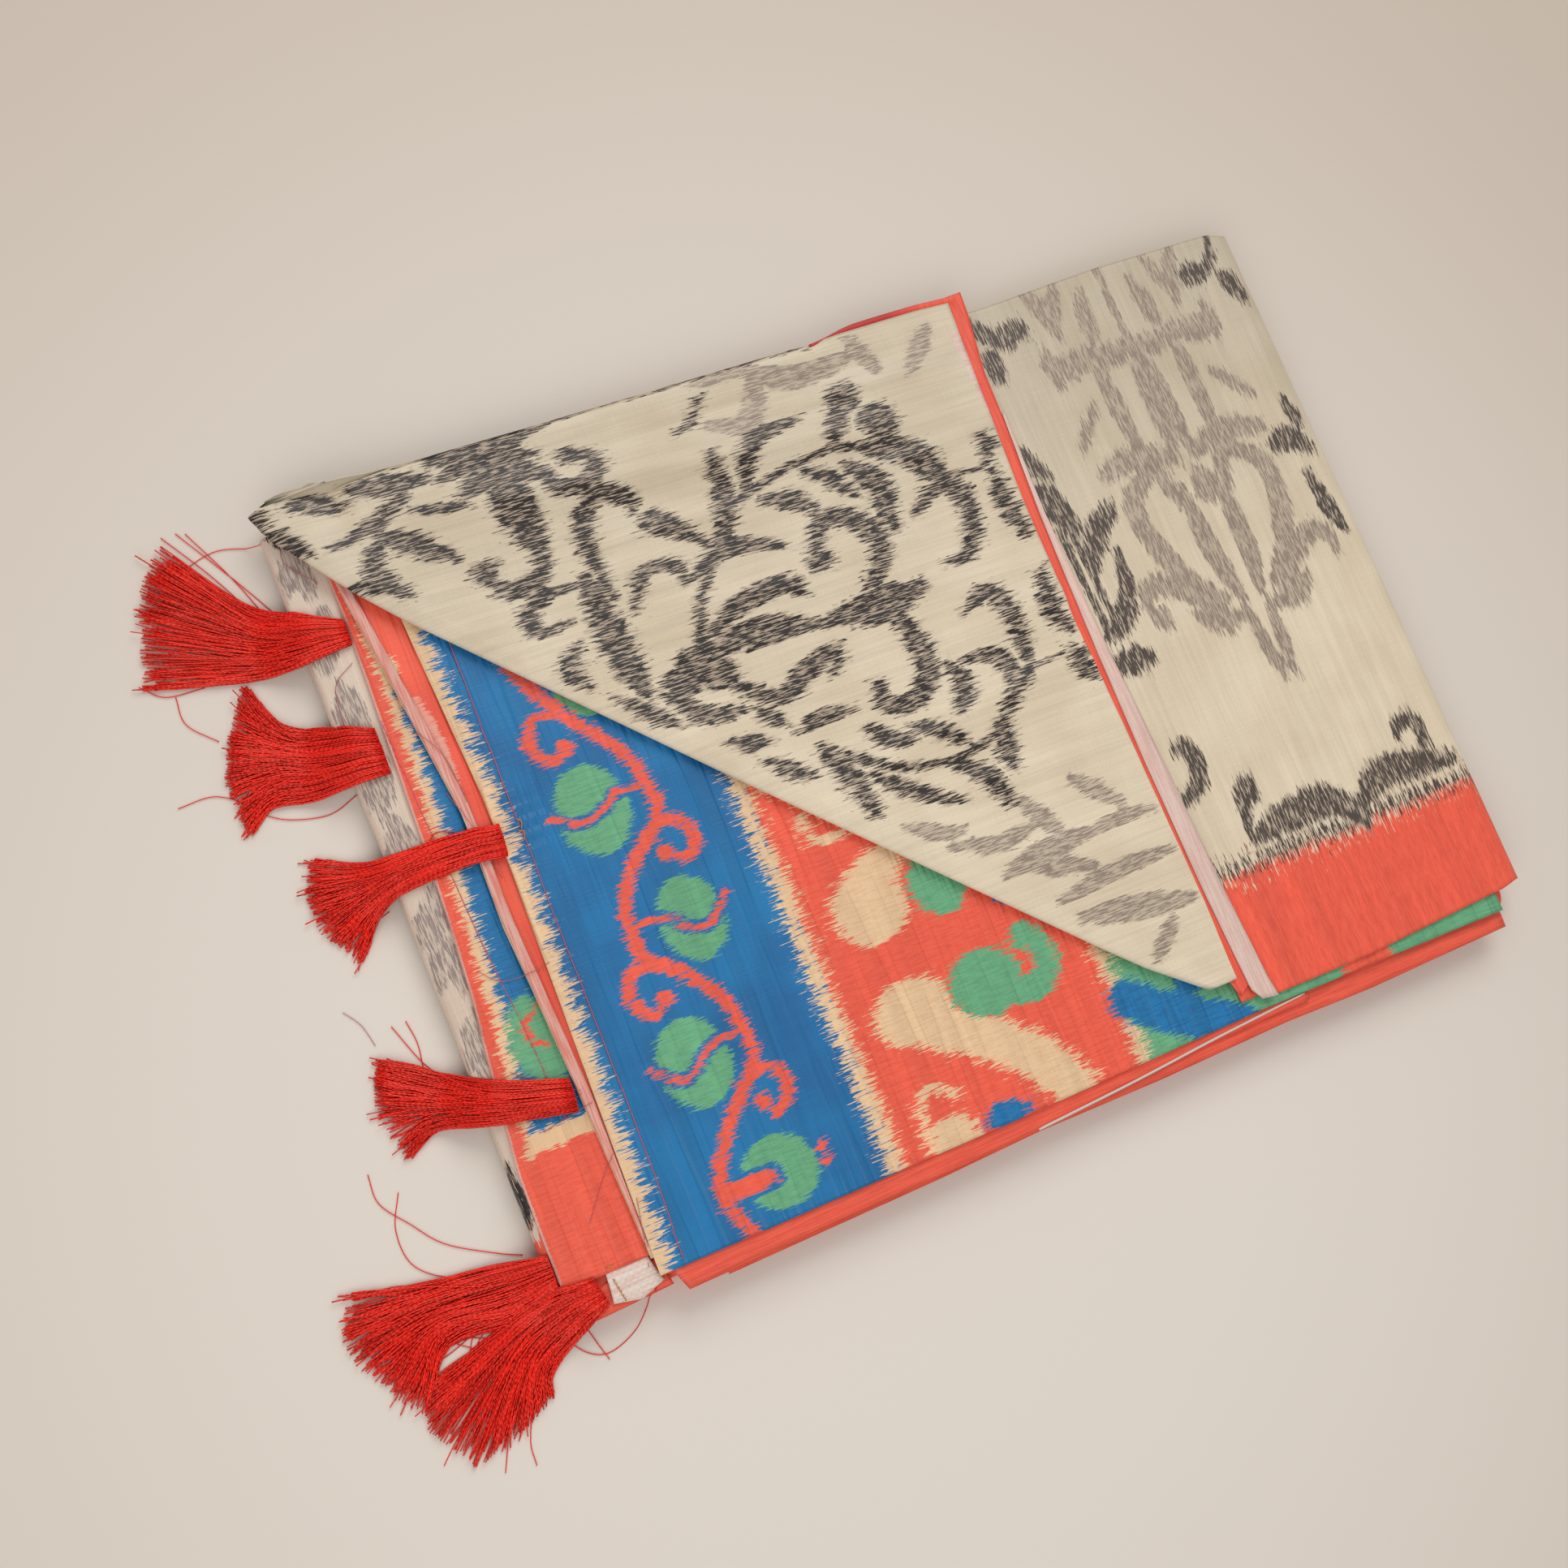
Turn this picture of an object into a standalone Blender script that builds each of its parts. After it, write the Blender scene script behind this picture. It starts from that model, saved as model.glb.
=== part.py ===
"""A printed satin saree, folded flat with its pallu end and tassels on view and its top leaf turned back.

Lengths below are millimetres, and the meshes are made in metres. +X runs along the long side of
the folded stack, +Y across it and +Z up. The stack rests on z = 0 with its middle at the origin.
"""

import math
import random
from collections import namedtuple

import bmesh
import bpy
import numpy as np

MM = 0.001

# The folded stack, and the single layers that lie on its core.
CLOTH = 1.0
GAP = 0.3
CORE_TOP = 9.0
STACK_LEFT = -196.0
STACK_RIGHT = 199.2
STACK_BOTTOM = -147.0
STACK_TOP = 138.0

# Each layer's underside, counted up from the core: wrap, third, second and top pallu, leaf, flap.
LEVEL = [CORE_TOP + GAP + (CLOTH + GAP) * step for step in range(6)]

# Edges that run across the stack: the place x of the edge at each y, from the bottom up.
Across = namedtuple("Across", "y x")
PALLU_TOP_LEFT = [Across(-145, -163.0), Across(-115, -162.3), Across(17, -159.0), Across(94, -163.0), Across(139, -164.0)]
PALLU_SECOND_LEFT = [
    Across(-138, -163.6),
    Across(-75, -166.0),
    Across(-42, -167.5),
    Across(-17, -169.0),
    Across(19, -167.6),
    Across(52, -171.5),
    Across(83, -175.5),
    Across(112, -179.5),
    Across(138, -180.5),
]
PALLU_THIRD_LEFT = [
    Across(-137, -194.0),
    Across(-100, -194.0),
    Across(-64, -190.3),
    Across(-34, -186.3),
    Across(15, -183.3),
    Across(94, -180.3),
    Across(137, -181.0),
]
CREAM_RIGHT = [
    Across(-136, 68.4),
    Across(-99, 69.0),
    Across(0, 67.2),
    Across(54, 67.0),
    Across(95, 68.6),
    Across(129, 70.4),
    Across(141, 71.4),
]

# The fold of the turned-back leaf: close to 45 degrees, and bowed a little at both ends.
FOLD_EDGE = [
    Across(-137, 70.0),
    Across(-128, 56.0),
    Across(-112, 36.0),
    Across(1, -77.0),
    Across(91, -165.0),
    Across(111, -182.0),
    Across(129, -195.5),
    Across(141, -199.0),
]
# Across the fold's own direction, a row of constant y is this much longer.
DIAGONAL = math.sqrt(2)

# Edges that run along the stack: the place y of the edge at each x, from the left.
Along = namedtuple("Along", "x y")
LEAF_TOP = [Along(-199, 136.0), Along(80, 136.0), Along(140, 139.0), Along(182, 141.0), Along(199, 136.5)]
LEAF_BOTTOM = [Along(70, -140.5), Along(124, -141.3), Along(165, -139.6), Along(199, -138.4)]
FLAP_TOP = [Along(-199, 140.6), Along(-180, 142.0), Along(-100, 141.4), Along(20, 141.6), Along(72, 140.6)]
PALLU_TOP_BOTTOM = [Along(-163, -144.2), Along(-20, -144.6), Along(85, -143.8), Along(186, -146.0)]

# Ribbons and small pieces at the edges: one row for each pair of points across the piece.
Pair = namedtuple("Pair", "inner_x inner_y outer_x outer_y")
RED_HEM = [
    Pair(18, 142.2, 18, 142.9),
    Pair(48, 141.7, 48, 143.4),
    Pair(72.2, 141.3, 79.6, 144.2),
    Pair(70.9, 129.0, 79.0, 136.5),
    Pair(69.6, 110.0, 75.4, 112.0),
    Pair(69.0, 95.0, 75.0, 96.0),
    Pair(67.5, 54.0, 72.6, 54.0),
    Pair(67.6, 0.0, 71.4, 0.0),
    Pair(68.7, -47.0, 71.2, -47.0),
    Pair(69.4, -99.0, 72.0, -99.0),
    Pair(68.9, -136.3, 73.6, -135.0),
]
PINK_HEM = [
    Pair(75.4, 95.0, 76.3, 95.0),
    Pair(72.9, 54.0, 75.0, 54.0),
    Pair(71.7, 0.0, 76.4, 0.0),
    Pair(71.5, -47.0, 78.6, -47.0),
    Pair(72.3, -99.0, 80.2, -99.0),
    Pair(73.9, -135.4, 82.2, -134.0),
    Pair(77.0, -140.3, 83.4, -141.3),
]
BORDER_UPPER = [
    Pair(-160.4, -138.6, -155.4, -152.0),
    Pair(-120.0, -138.6, -120.0, -151.8),
    Pair(-60.0, -138.6, -60.0, -151.4),
    Pair(-21.0, -138.6, -21.0, -151.2),
    Pair(10.0, -138.6, 10.0, -148.8),
    Pair(55.0, -138.6, 55.0, -147.4),
    Pair(98.0, -138.6, 96.0, -147.6),
]
BORDER_LOWER = [
    Pair(-142.0, -137.4, -141.0, -152.8),
    Pair(-60.0, -137.4, -60.0, -152.4),
    Pair(-21.0, -137.4, -21.0, -151.4),
    Pair(30.0, -137.4, 30.0, -152.2),
    Pair(85.0, -137.4, 85.0, -151.6),
    Pair(121.0, -137.4, 121.0, -152.8),
    Pair(187.0, -137.4, 186.0, -152.2),
]
CORNER_LOW_EDGE = [
    Pair(-187.0, -141.0, -186.5, -149.4),
    Pair(-173.0, -138.5, -173.0, -149.0),
    Pair(-160.9, -138.5, -159.0, -148.4),
]
CORNER_PATCH = [
    Pair(-178.8, -137.6, -180.0, -146.6),
    Pair(-171.0, -138.2, -170.6, -148.8),
    Pair(-164.0, -138.8, -161.8, -145.8),
]

# How far each fold of the core falls short of the stack's edge on each side, from the lowest up.
CoreFold = namedtuple("CoreFold", "left right bottom top")
CORE_FOLDS = [
    CoreFold(2.9, 0.9, 0.4, 1.0),
    CoreFold(2.8, 0.0, 1.6, 0.0),
    CoreFold(3.1, 1.4, 0.2, 1.6),
    CoreFold(2.8, 0.3, 1.0, 0.4),
    CoreFold(3.0, 1.1, 0.0, 1.2),
    CoreFold(3.4, 1.8, 0.8, 0.6),
]
CORE_CORNER = 7.0
CORE_GROOVE = 1.3
CORE_SIDE_POINTS = 9
CORE_CORNER_POINTS = 4

# Sections of the rolled edges: how far a point lies in from the fold, and its height.
Section = namedtuple("Section", "inward height")
FLAP_ROLL = [
    Section(20.0, LEVEL[4]),
    Section(12.0, LEVEL[4]),
    Section(6.0, LEVEL[4]),
    Section(2.2, LEVEL[4] + 0.4),
    Section(0.2, LEVEL[4] + 1.6),
    Section(0.8, LEVEL[4] + 3.0),
    Section(3.6, LEVEL[4] + 4.1),
    Section(9.0, LEVEL[4] + 3.9),
    Section(17.0, LEVEL[4] + 2.8),
    Section(27.0, LEVEL[5] + CLOTH),
]
LEAF_FOLD = [
    Section(9.5, LEVEL[4] + CLOTH),
    Section(4.6, LEVEL[4] + CLOTH - 0.3),
    Section(1.2, LEVEL[4] + CLOTH - 1.6),
    Section(0.0, LEVEL[4] + CLOTH - 3.3),
    Section(0.9, LEVEL[4] + CLOTH - 4.9),
    Section(3.6, LEVEL[0] + 0.2),
    Section(7.6, LEVEL[0] + 0.1),
]
WRAP_FOLD = [
    Section(76.0, LEVEL[0] + CLOTH),
    Section(30.0, LEVEL[0] + CLOTH),
    Section(10.0, LEVEL[0] + CLOTH),
    Section(3.6, LEVEL[0] + CLOTH - 0.3),
    Section(0.8, LEVEL[0] + CLOTH - 1.7),
    Section(0.0, LEVEL[0] + CLOTH - 4.0),
    Section(0.3, LEVEL[0] + CLOTH - 6.7),
    Section(1.0, LEVEL[0] + CLOTH - 9.3),
]

# The flap's lower corner ends at FLAP_TIP, where it narrows to TIP_WIDTH. Its far corner droops off the stack.
FLAP_TIP = -133.0
FLAP_TOP_ROW = 141.0
TIP_WIDTH = 3.0
FLAP_DROOP = 3.4
SETTLING_STEPS = 6

# The leaf starts this far from the cloth that rolls up into the flap, so that their rows stay apart.
SEAM_GAP = 2.0

# Soft ridges in the turned flap and the leaf, each along a line.
Ridge = namedtuple("Ridge", "x y to_x to_y height spread")
FLAP_RIDGES = [
    Ridge(-110, 118, 30, 103, 0.9, 7.0),
    Ridge(-20, -12, 55, -2, 0.7, 6.0),
    Ridge(-60, 60, -10, 58, 0.5, 8.0),
    Ridge(5, -60, 60, -70, 0.6, 7.0),
]
LEAF_RIDGES = [
    Ridge(108, -141, 104, -70, 0.5, 6.0),
    Ridge(150, -141, 155, -85, 0.4, 5.0),
    Ridge(178, -100, 184, 60, 0.4, 7.0),
]

# One row for each tassel: where it leaves the cloth, where its tips lie, and how it lies between.
Tassel = namedtuple("Tassel", "neck_x neck_y neck_width bend_x bend_y tip_x tip_y tip_width slant seat lap")
TASSELS = [
    Tassel(-180.9, 94.0, 11, -206, 96, -247, 119, 48, 0.00, LEVEL[1], LEVEL[1]),
    Tassel(-184.1, 50.0, 19, -208, 57, -229, 70, 44, 0.04, LEVEL[1], LEVEL[1]),
    Tassel(-157.8, 7.5, 10, -190, 8, -229, 6, 29, 0.00, LEVEL[4], LEVEL[4] - 0.9),
    Tassel(-166.6, -78.5, 11, -190, -74, -233, -61, 40, 0.00, LEVEL[2], LEVEL[2]),
    Tassel(-194.4, -129.5, 13, -225, -127, -264, -130, 38, 0.00, LEVEL[1], LEVEL[1]),
    Tassel(-180.6, -143.4, 10, -208, -148, -245, -167, 34, 0.00, LEVEL[1], LEVEL[1]),
]
HEAD_LENGTH = 4.0
HEAD_HEIGHT = 2.8
BUNDLE_HEIGHT = 3.2
FLOOR_CLEARANCE = 0.5
EDGE_PASSED = STACK_LEFT - 1.5
FLOOR_REACHED = STACK_LEFT - 19.0
STRAND_COLUMNS = 9
STRAND_ROWS = 2
STRAND_SHARE = 0.62
STRAND_SEED = 7

CREAM = (0.68, 0.58, 0.42)
CORAL = (0.83, 0.10, 0.06)
BLUE = (0.03, 0.17, 0.42)
PINK = (0.76, 0.55, 0.50)
SILK_RED = (0.58, 0.01, 0.01)


def clear_scene():
    for obj in list(bpy.data.objects):
        bpy.data.objects.remove(obj, do_unlink=True)


def fabric(name, colour, roughness):
    material = bpy.data.materials.new(name)
    material.use_nodes = True
    shader = material.node_tree.nodes["Principled BSDF"]
    shader.inputs["Base Color"].default_value = (*colour, 1)
    shader.inputs["Roughness"].default_value = roughness
    shader.inputs["Metallic"].default_value = 0
    return material


def add_object(name, points, faces, colour, roughness=0.7):
    mesh = bpy.data.meshes.new(name)
    mesh.from_pydata([tuple(value * MM for value in point) for point in points], [], faces)
    shape = bmesh.new()
    shape.from_mesh(mesh)
    bmesh.ops.recalc_face_normals(shape, faces=shape.faces)
    shape.to_mesh(mesh)
    shape.free()
    mesh.shade_smooth()
    mesh.set_sharp_from_angle(angle=math.radians(50))
    mesh.materials.append(fabric(name + "_cloth", colour, roughness))
    obj = bpy.data.objects.new(name, mesh)
    bpy.context.scene.collection.objects.link(obj)
    return obj


def read(table, place):
    """The second column of a table at a place in its first, straight between rows."""
    columns = np.array(table, float)
    return float(np.interp(place, columns[:, 0], columns[:, 1]))


def smoothstep(value):
    value = min(max(value, 0.0), 1.0)
    return value * value * (3 - 2 * value)


def spread(count, power=1.0):
    """Fractions from 0 to 1, closer together near 0 where power is above 1."""
    return [(step / (count - 1)) ** power for step in range(count)]


def ridge_height(ridges, x, y):
    """How far the soft ridges raise the cloth at a place."""
    total = 0.0
    for ridge in ridges:
        run = np.array([ridge.to_x - ridge.x, ridge.to_y - ridge.y], float)
        offset = np.array([x - ridge.x, y - ridge.y], float)
        share = offset @ run / (run @ run)
        distance = np.linalg.norm(offset - min(max(share, 0.0), 1.0) * run)
        total += ridge.height * math.exp(-((distance / ridge.spread) ** 2))
    return total


def add_wall(name, outer, inner, colour):
    """A closed wall between two grids of points with the same rows and columns."""
    rows, columns = outer.shape[:2]
    points = [*outer.reshape(-1, 3), *inner.reshape(-1, 3)]
    under = rows * columns

    def corner(row, column):
        return row * columns + column

    faces = []
    for row in range(rows - 1):
        for column in range(columns - 1):
            loop = [
                corner(row, column),
                corner(row, column + 1),
                corner(row + 1, column + 1),
                corner(row + 1, column),
            ]
            faces.append(loop)
            faces.append([under + place for place in reversed(loop)])
    rim = [corner(0, column) for column in range(columns - 1)]
    rim += [corner(row, columns - 1) for row in range(rows - 1)]
    rim += [corner(rows - 1, column) for column in range(columns - 1, 0, -1)]
    rim += [corner(row, 0) for row in range(rows - 1, 0, -1)]
    for place, following in zip(rim, rim[1:] + rim[:1]):
        faces.append([following, place, under + place, under + following])
    return add_object(name, points, faces, colour)


def thicken(outer):
    """The grid a cloth's thickness inside another, along its normals."""
    normals = np.cross(np.gradient(outer, axis=1), np.gradient(outer, axis=0))
    normals /= np.linalg.norm(normals, axis=2, keepdims=True)
    return outer - normals * CLOTH


def add_layer(name, left, right, bottom, top, level, columns, rows, colour):
    """A flat layer of cloth between a left and a right edge, and a bottom and a top edge."""
    grid = np.empty((len(rows), len(columns), 3))
    for row, upward in enumerate(rows):
        for column, sideways in enumerate(columns):
            x = 0.0
            y = 0.0
            # The edges depend on each other, so the place is found in a few steps.
            for _ in range(SETTLING_STEPS):
                y = read(bottom, x) + (read(top, x) - read(bottom, x)) * upward
                x = read(left, y) + (read(right, y) - read(left, y)) * sideways
            grid[row, column] = (x, y, LEVEL[level] + CLOTH)
    under = grid - [0, 0, CLOTH]
    return add_wall(name, grid, under, colour)


def straight(across_x):
    """An edge table for an edge that runs straight across the stack."""
    return [Across(STACK_BOTTOM, across_x), Across(STACK_TOP, across_x)]


def level_edge(along_y):
    """An edge table for an edge that runs straight along the stack."""
    return [Along(STACK_LEFT, along_y), Along(STACK_RIGHT, along_y)]


def fold_line(y):
    return read(FOLD_EDGE, y)


def make_core():
    """The hidden folds as one solid, with a groove round its side between each two of them."""
    thickness = CORE_TOP / len(CORE_FOLDS)
    rings = []
    for number, fold in enumerate(CORE_FOLDS):
        base = thickness * number
        rings.append(core_ring(fold, base, CORE_GROOVE, number))
        rings.append(core_ring(fold, base + 0.3 * thickness, 0.1, number))
        rings.append(core_ring(fold, base + 0.7 * thickness, 0.1, number))
    rings.append(core_ring(CORE_FOLDS[-1], CORE_TOP, 2.4, len(CORE_FOLDS)))
    count = len(rings[0])
    points = [point for ring in rings for point in ring]
    faces = [list(reversed(range(count))), [len(points) - count + place for place in range(count)]]
    for ring in range(len(rings) - 1):
        for place in range(count):
            following = (place + 1) % count
            start = ring * count
            faces.append([start + place, start + following, start + count + following, start + count + place])
    return add_object("folded_core", points, faces, CREAM)


def core_ring(fold, height, inset, number):
    """One ring round the core: a rounded rectangle whose straight sides wave a little."""
    left = STACK_LEFT + fold.left + inset
    right = STACK_RIGHT - fold.right - inset
    bottom = STACK_BOTTOM + fold.bottom + inset
    top = STACK_TOP - fold.top - inset
    radius = CORE_CORNER - inset
    corners = [
        (right - radius, bottom + radius, -90),
        (right - radius, top - radius, 0),
        (left + radius, top - radius, 90),
        (left + radius, bottom + radius, 180),
    ]
    ring = []
    for turn, (x, y, start) in enumerate(corners):
        for step in range(CORE_CORNER_POINTS):
            angle = math.radians(start + 90 * step / (CORE_CORNER_POINTS - 1))
            ring.append((x + radius * math.cos(angle), y + radius * math.sin(angle), height))
        next_x, next_y, next_start = corners[(turn + 1) % 4]
        end = ring[-1]
        angle = math.radians(next_start)
        goal = (next_x + radius * math.cos(angle), next_y + radius * math.sin(angle))
        for step in range(1, CORE_SIDE_POINTS):
            share = step / CORE_SIDE_POINTS
            wave = 0.35 * math.sin(math.pi * share) * math.sin(5 * share * math.pi + 1.7 * number + turn)
            x_along = end[0] + (goal[0] - end[0]) * share - wave * abs(math.cos(angle))
            y_along = end[1] + (goal[1] - end[1]) * share - wave * abs(math.sin(angle))
            ring.append((x_along, y_along, height))
    return ring


def make_wrap():
    """The lowest fold that shows: its leaf lies on the core and turns down round the left edge."""
    rows = np.linspace(-136.0, 133.0, 12)
    outer = np.empty((len(rows), len(WRAP_FOLD), 3))
    for row, y in enumerate(rows):
        sway = 0.4 * math.sin(y / 31) - 0.3
        for column, section in enumerate(reversed(WRAP_FOLD)):
            outer[row, column] = (STACK_LEFT + section.inward + max(sway, -0.1), y, section.height)
    return add_wall("lower_wrap", outer, thicken(outer), CREAM)


def make_pallu_layers():
    """The three layers of the pallu end, stepped back from each other at the left."""
    low = spread(6, 2.2)
    add_layer(
        "pallu_third", PALLU_THIRD_LEFT, straight(188), level_edge(-136.8), level_edge(136), 1, low, spread(15), BLUE
    )
    add_layer(
        "pallu_second", PALLU_SECOND_LEFT, straight(187), level_edge(-138), level_edge(137), 2, low, spread(15), CORAL
    )
    add_layer(
        "pallu_top", PALLU_TOP_LEFT, straight(186), PALLU_TOP_BOTTOM, level_edge(138), 3, spread(9, 1.3), spread(11), BLUE
    )


def make_second_facing():
    """The turned edge of the second pallu layer, a narrow strip that lies along its left edge."""
    rows = []
    for y in np.linspace(112, -134, 15):
        edge = read(PALLU_SECOND_LEFT, y)
        width = min(3.6, read(PALLU_TOP_LEFT, y) - edge - 0.5)
        rows.append(Pair(edge + width, y, edge + 0.1, y))
    return add_ribbon("second_facing", rows, 3, PINK)


def add_ribbon(name, pairs, level, colour, columns=3):
    """A narrow piece of cloth through pairs of points, each across its width."""
    grid = np.empty((len(pairs), columns, 3))
    for row, pair in enumerate(pairs):
        inner = np.array([pair.inner_x, pair.inner_y])
        outer = np.array([pair.outer_x, pair.outer_y])
        for column, share in enumerate(spread(columns)):
            grid[row, column, :2] = inner + (outer - inner) * share
            grid[row, column, 2] = LEVEL[level] + CLOTH
    run = np.cross(grid[1, 0] - grid[0, 0], grid[0, -1] - grid[0, 0])
    if run[2] > 0:
        grid = grid[::-1]
    return add_wall(name, grid, grid - [0, 0, CLOTH], colour)


def seam_under_flap(y):
    """Where the leaf meets the cloth that rolls up into the flap."""
    return fold_line(y) + roll_share(y) * DIAGONAL * FLAP_ROLL[0].inward


def roll_share(y):
    """How much of its full depth the roll has room for at a row of the flap."""
    width = max(read(CREAM_RIGHT, y) - fold_line(y), TIP_WIDTH)
    return min(1.0, width / (DIAGONAL * (FLAP_ROLL[-1].inward + 3.0)))


def make_leaf():
    """The top leaf right of the turned flap, with its rounded fold at the right."""
    flat = spread(8)
    rows = spread(17)
    outer = np.empty((len(rows), len(flat) + len(LEAF_FOLD) - 1, 3))
    flat_end = STACK_RIGHT - LEAF_FOLD[0].inward
    for row, upward in enumerate(rows):
        start = 0.0
        for _ in range(SETTLING_STEPS):
            y = leaf_row(start, upward)
            start = seam_under_flap(y) + SEAM_GAP + 8.0 * smoothstep((-130 - y) / 11)
        places = [start + (flat_end - start) * sideways for sideways in flat]
        heights = [LEVEL[4] + CLOTH] * len(flat)
        places += [STACK_RIGHT - section.inward for section in LEAF_FOLD[1:]]
        heights += [section.height for section in LEAF_FOLD[1:]]
        for column, (x, height) in enumerate(zip(places, heights)):
            y = leaf_row(x, upward)
            shown = smoothstep((x - 84) / 6) if column < len(flat) else 0.0
            outer[row, column] = (x, y, height + shown * ridge_height(LEAF_RIDGES, x, y))
    return add_wall("top_leaf", outer, thicken(outer), CREAM)


def leaf_row(x, upward):
    """The place y of a row of the leaf at one x."""
    return read(LEAF_BOTTOM, x) + (read(LEAF_TOP, x) - read(LEAF_BOTTOM, x)) * upward


def make_flap():
    """The corner of the leaf turned back over the pallu, with a soft roll along the fold."""
    span = FLAP_TOP_ROW - FLAP_TIP
    rows = [0.0, 5 / span, 11 / span] + [19 / span + (1 - 19 / span) * step for step in spread(20)]
    across = spread(8)[1:]
    outer = np.empty((len(rows), len(FLAP_ROLL) + len(across), 3))
    for row, upward in enumerate(rows):
        for column in range(outer.shape[1]):
            y = FLAP_TIP + span * upward
            for _ in range(SETTLING_STEPS):
                if column < len(FLAP_ROLL):
                    x = fold_line(y) + FLAP_ROLL[column].inward * DIAGONAL * roll_share(y)
                else:
                    start = fold_line(y) + FLAP_ROLL[-1].inward * DIAGONAL * roll_share(y)
                    x = start + (read(CREAM_RIGHT, y) - start) * across[column - len(FLAP_ROLL)]
                y = FLAP_TIP + (read(FLAP_TOP, x) - FLAP_TIP) * upward
            height = FLAP_ROLL[min(column, len(FLAP_ROLL) - 1)].height
            height -= FLAP_DROOP * smoothstep((y - 112) / 27) * smoothstep((-172 - x) / 27)
            if column >= len(FLAP_ROLL):
                height += ridge_height(FLAP_RIDGES, x, y)
            outer[row, column] = (x, y, height)
    return add_wall("turned_flap", outer, thicken(outer), CREAM)


def bundle_place(tassel, sideways, upward, share):
    """A point in a tassel: sideways runs from -1 to 1, upward and share from 0 to 1."""
    neck = np.array([tassel.neck_x - HEAD_LENGTH, tassel.neck_y])
    bend = np.array([tassel.bend_x, tassel.bend_y], float)
    tip = np.array([tassel.tip_x, tassel.tip_y], float)
    middle = neck * (1 - share) ** 2 + bend * 2 * share * (1 - share) + tip * share**2
    heading = (bend - neck) * (1 - share) + (tip - bend) * share
    heading /= np.linalg.norm(heading)
    side = np.array([-heading[1], heading[0]])
    half = 0.5 * (tassel.neck_width + (tassel.tip_width - tassel.neck_width) * share**1.25)
    place = middle + side * sideways * half
    height = HEAD_HEIGHT + (BUNDLE_HEIGHT - HEAD_HEIGHT) * share
    return np.array([*place, resting_height(tassel, place[0]) + upward * height])


def resting_height(tassel, x):
    """The underside of the tassel: on the cloth, then down past the stack's edge to the floor."""
    if x > EDGE_PASSED:
        share = (tassel.neck_x - HEAD_LENGTH - x) / (tassel.neck_x - HEAD_LENGTH - EDGE_PASSED)
        return tassel.seat + (tassel.lap - tassel.seat) * smoothstep(share)
    fallen = smoothstep((EDGE_PASSED - x) / (EDGE_PASSED - FLOOR_REACHED))
    return tassel.lap + (FLOOR_CLEARANCE - tassel.lap) * fallen


def strand_sections(tassel):
    """The shares of a tassel's length where its strands bend: past the edge, on the floor, and on."""
    reach = tassel.tip_x - (tassel.neck_x - HEAD_LENGTH)
    edge = max((EDGE_PASSED - tassel.neck_x + HEAD_LENGTH) / reach, 0.06)
    floor = (FLOOR_REACHED - tassel.neck_x + HEAD_LENGTH) / reach
    return [edge, 0.5 * (edge + floor), floor, 0.5 * (floor + 1), 1.0]


def make_tassel(name, tassel, chance):
    """A flat head, with strands that grow out of its front in a fan and stay apart."""
    points = []
    faces = []

    def add(point):
        points.append(tuple(point))
        return len(points) - 1

    front = [
        [
            add(bundle_place(tassel, 2 * column / STRAND_COLUMNS - 1, row / STRAND_ROWS, 0.0))
            for column in range(STRAND_COLUMNS + 1)
        ]
        for row in range(STRAND_ROWS + 1)
    ]
    back = []
    for row, column in [(0, 0), (0, -1), (-1, -1), (-1, 0)]:
        corner = points[front[row][column]]
        back.append(add((tassel.neck_x, *corner[1:])))
    faces.append(back)
    faces.append([*front[0], back[1], back[0]])
    faces.append([*reversed(front[-1]), back[3], back[2]])
    faces.append([*[line[-1] for line in front], back[2], back[1]])
    faces.append([*[line[0] for line in reversed(front)], back[0], back[3]])

    for row in range(STRAND_ROWS):
        for column in range(STRAND_COLUMNS):
            low = front[row][column : column + 2]
            high = front[row + 1][column : column + 2]
            if (row + column) % 2:
                halves = [(low[0], low[1], high[1]), (low[0], high[1], high[0])]
            else:
                halves = [(low[0], low[1], high[0]), (low[1], high[1], high[0])]
            for half in halves:
                faces += add_strand(tassel, half, front, add, chance)
    return add_object(name, points, faces, SILK_RED, 0.4)


def add_strand(tassel, half, front, add, chance):
    """One strand of three sides on a triangle of the head's front: its faces, root to tip."""
    places = []
    for corner in half:
        row = next(number for number, line in enumerate(front) if corner in line)
        places.append((2 * front[row].index(corner) / STRAND_COLUMNS - 1, row / STRAND_ROWS))
    places = np.array(places)
    centre = places.mean(axis=0)
    length = 1.0 - 0.07 * centre[0] ** 2 + tassel.slant * centre[0] - 0.1 * chance.random()
    drift = np.array([(chance.random() - 0.5) * 0.3 / STRAND_COLUMNS, 0.0])
    previous = list(half)
    faces = []
    for share in [0.0, *strand_sections(tassel)]:
        thick = STRAND_SHARE * (1 - 0.25 * share)
        section = centre + drift * share + (places - centre) * thick
        ring = [add(bundle_place(tassel, sideways, upward, share * length)) for sideways, upward in section]
        for place in range(3):
            following = (place + 1) % 3
            faces.append([previous[place], previous[following], ring[following], ring[place]])
        previous = ring
    faces.append(previous)
    return faces


def make_trims():
    add_ribbon("flap_hem_red", RED_HEM, 5, CORAL)
    add_ribbon("flap_hem_pink", PINK_HEM, 5, PINK)
    add_ribbon("border_upper", BORDER_UPPER, 2, CORAL)
    add_ribbon("border_lower", BORDER_LOWER, 1, CORAL)
    add_ribbon("corner_low_edge", CORNER_LOW_EDGE, 0, CORAL)
    add_ribbon("corner_patch", CORNER_PATCH, 1, PINK)


def make_tassels():
    chance = random.Random(STRAND_SEED)
    for number, tassel in enumerate(TASSELS, 1):
        make_tassel(f"tassel_{number}", tassel, chance)


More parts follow.
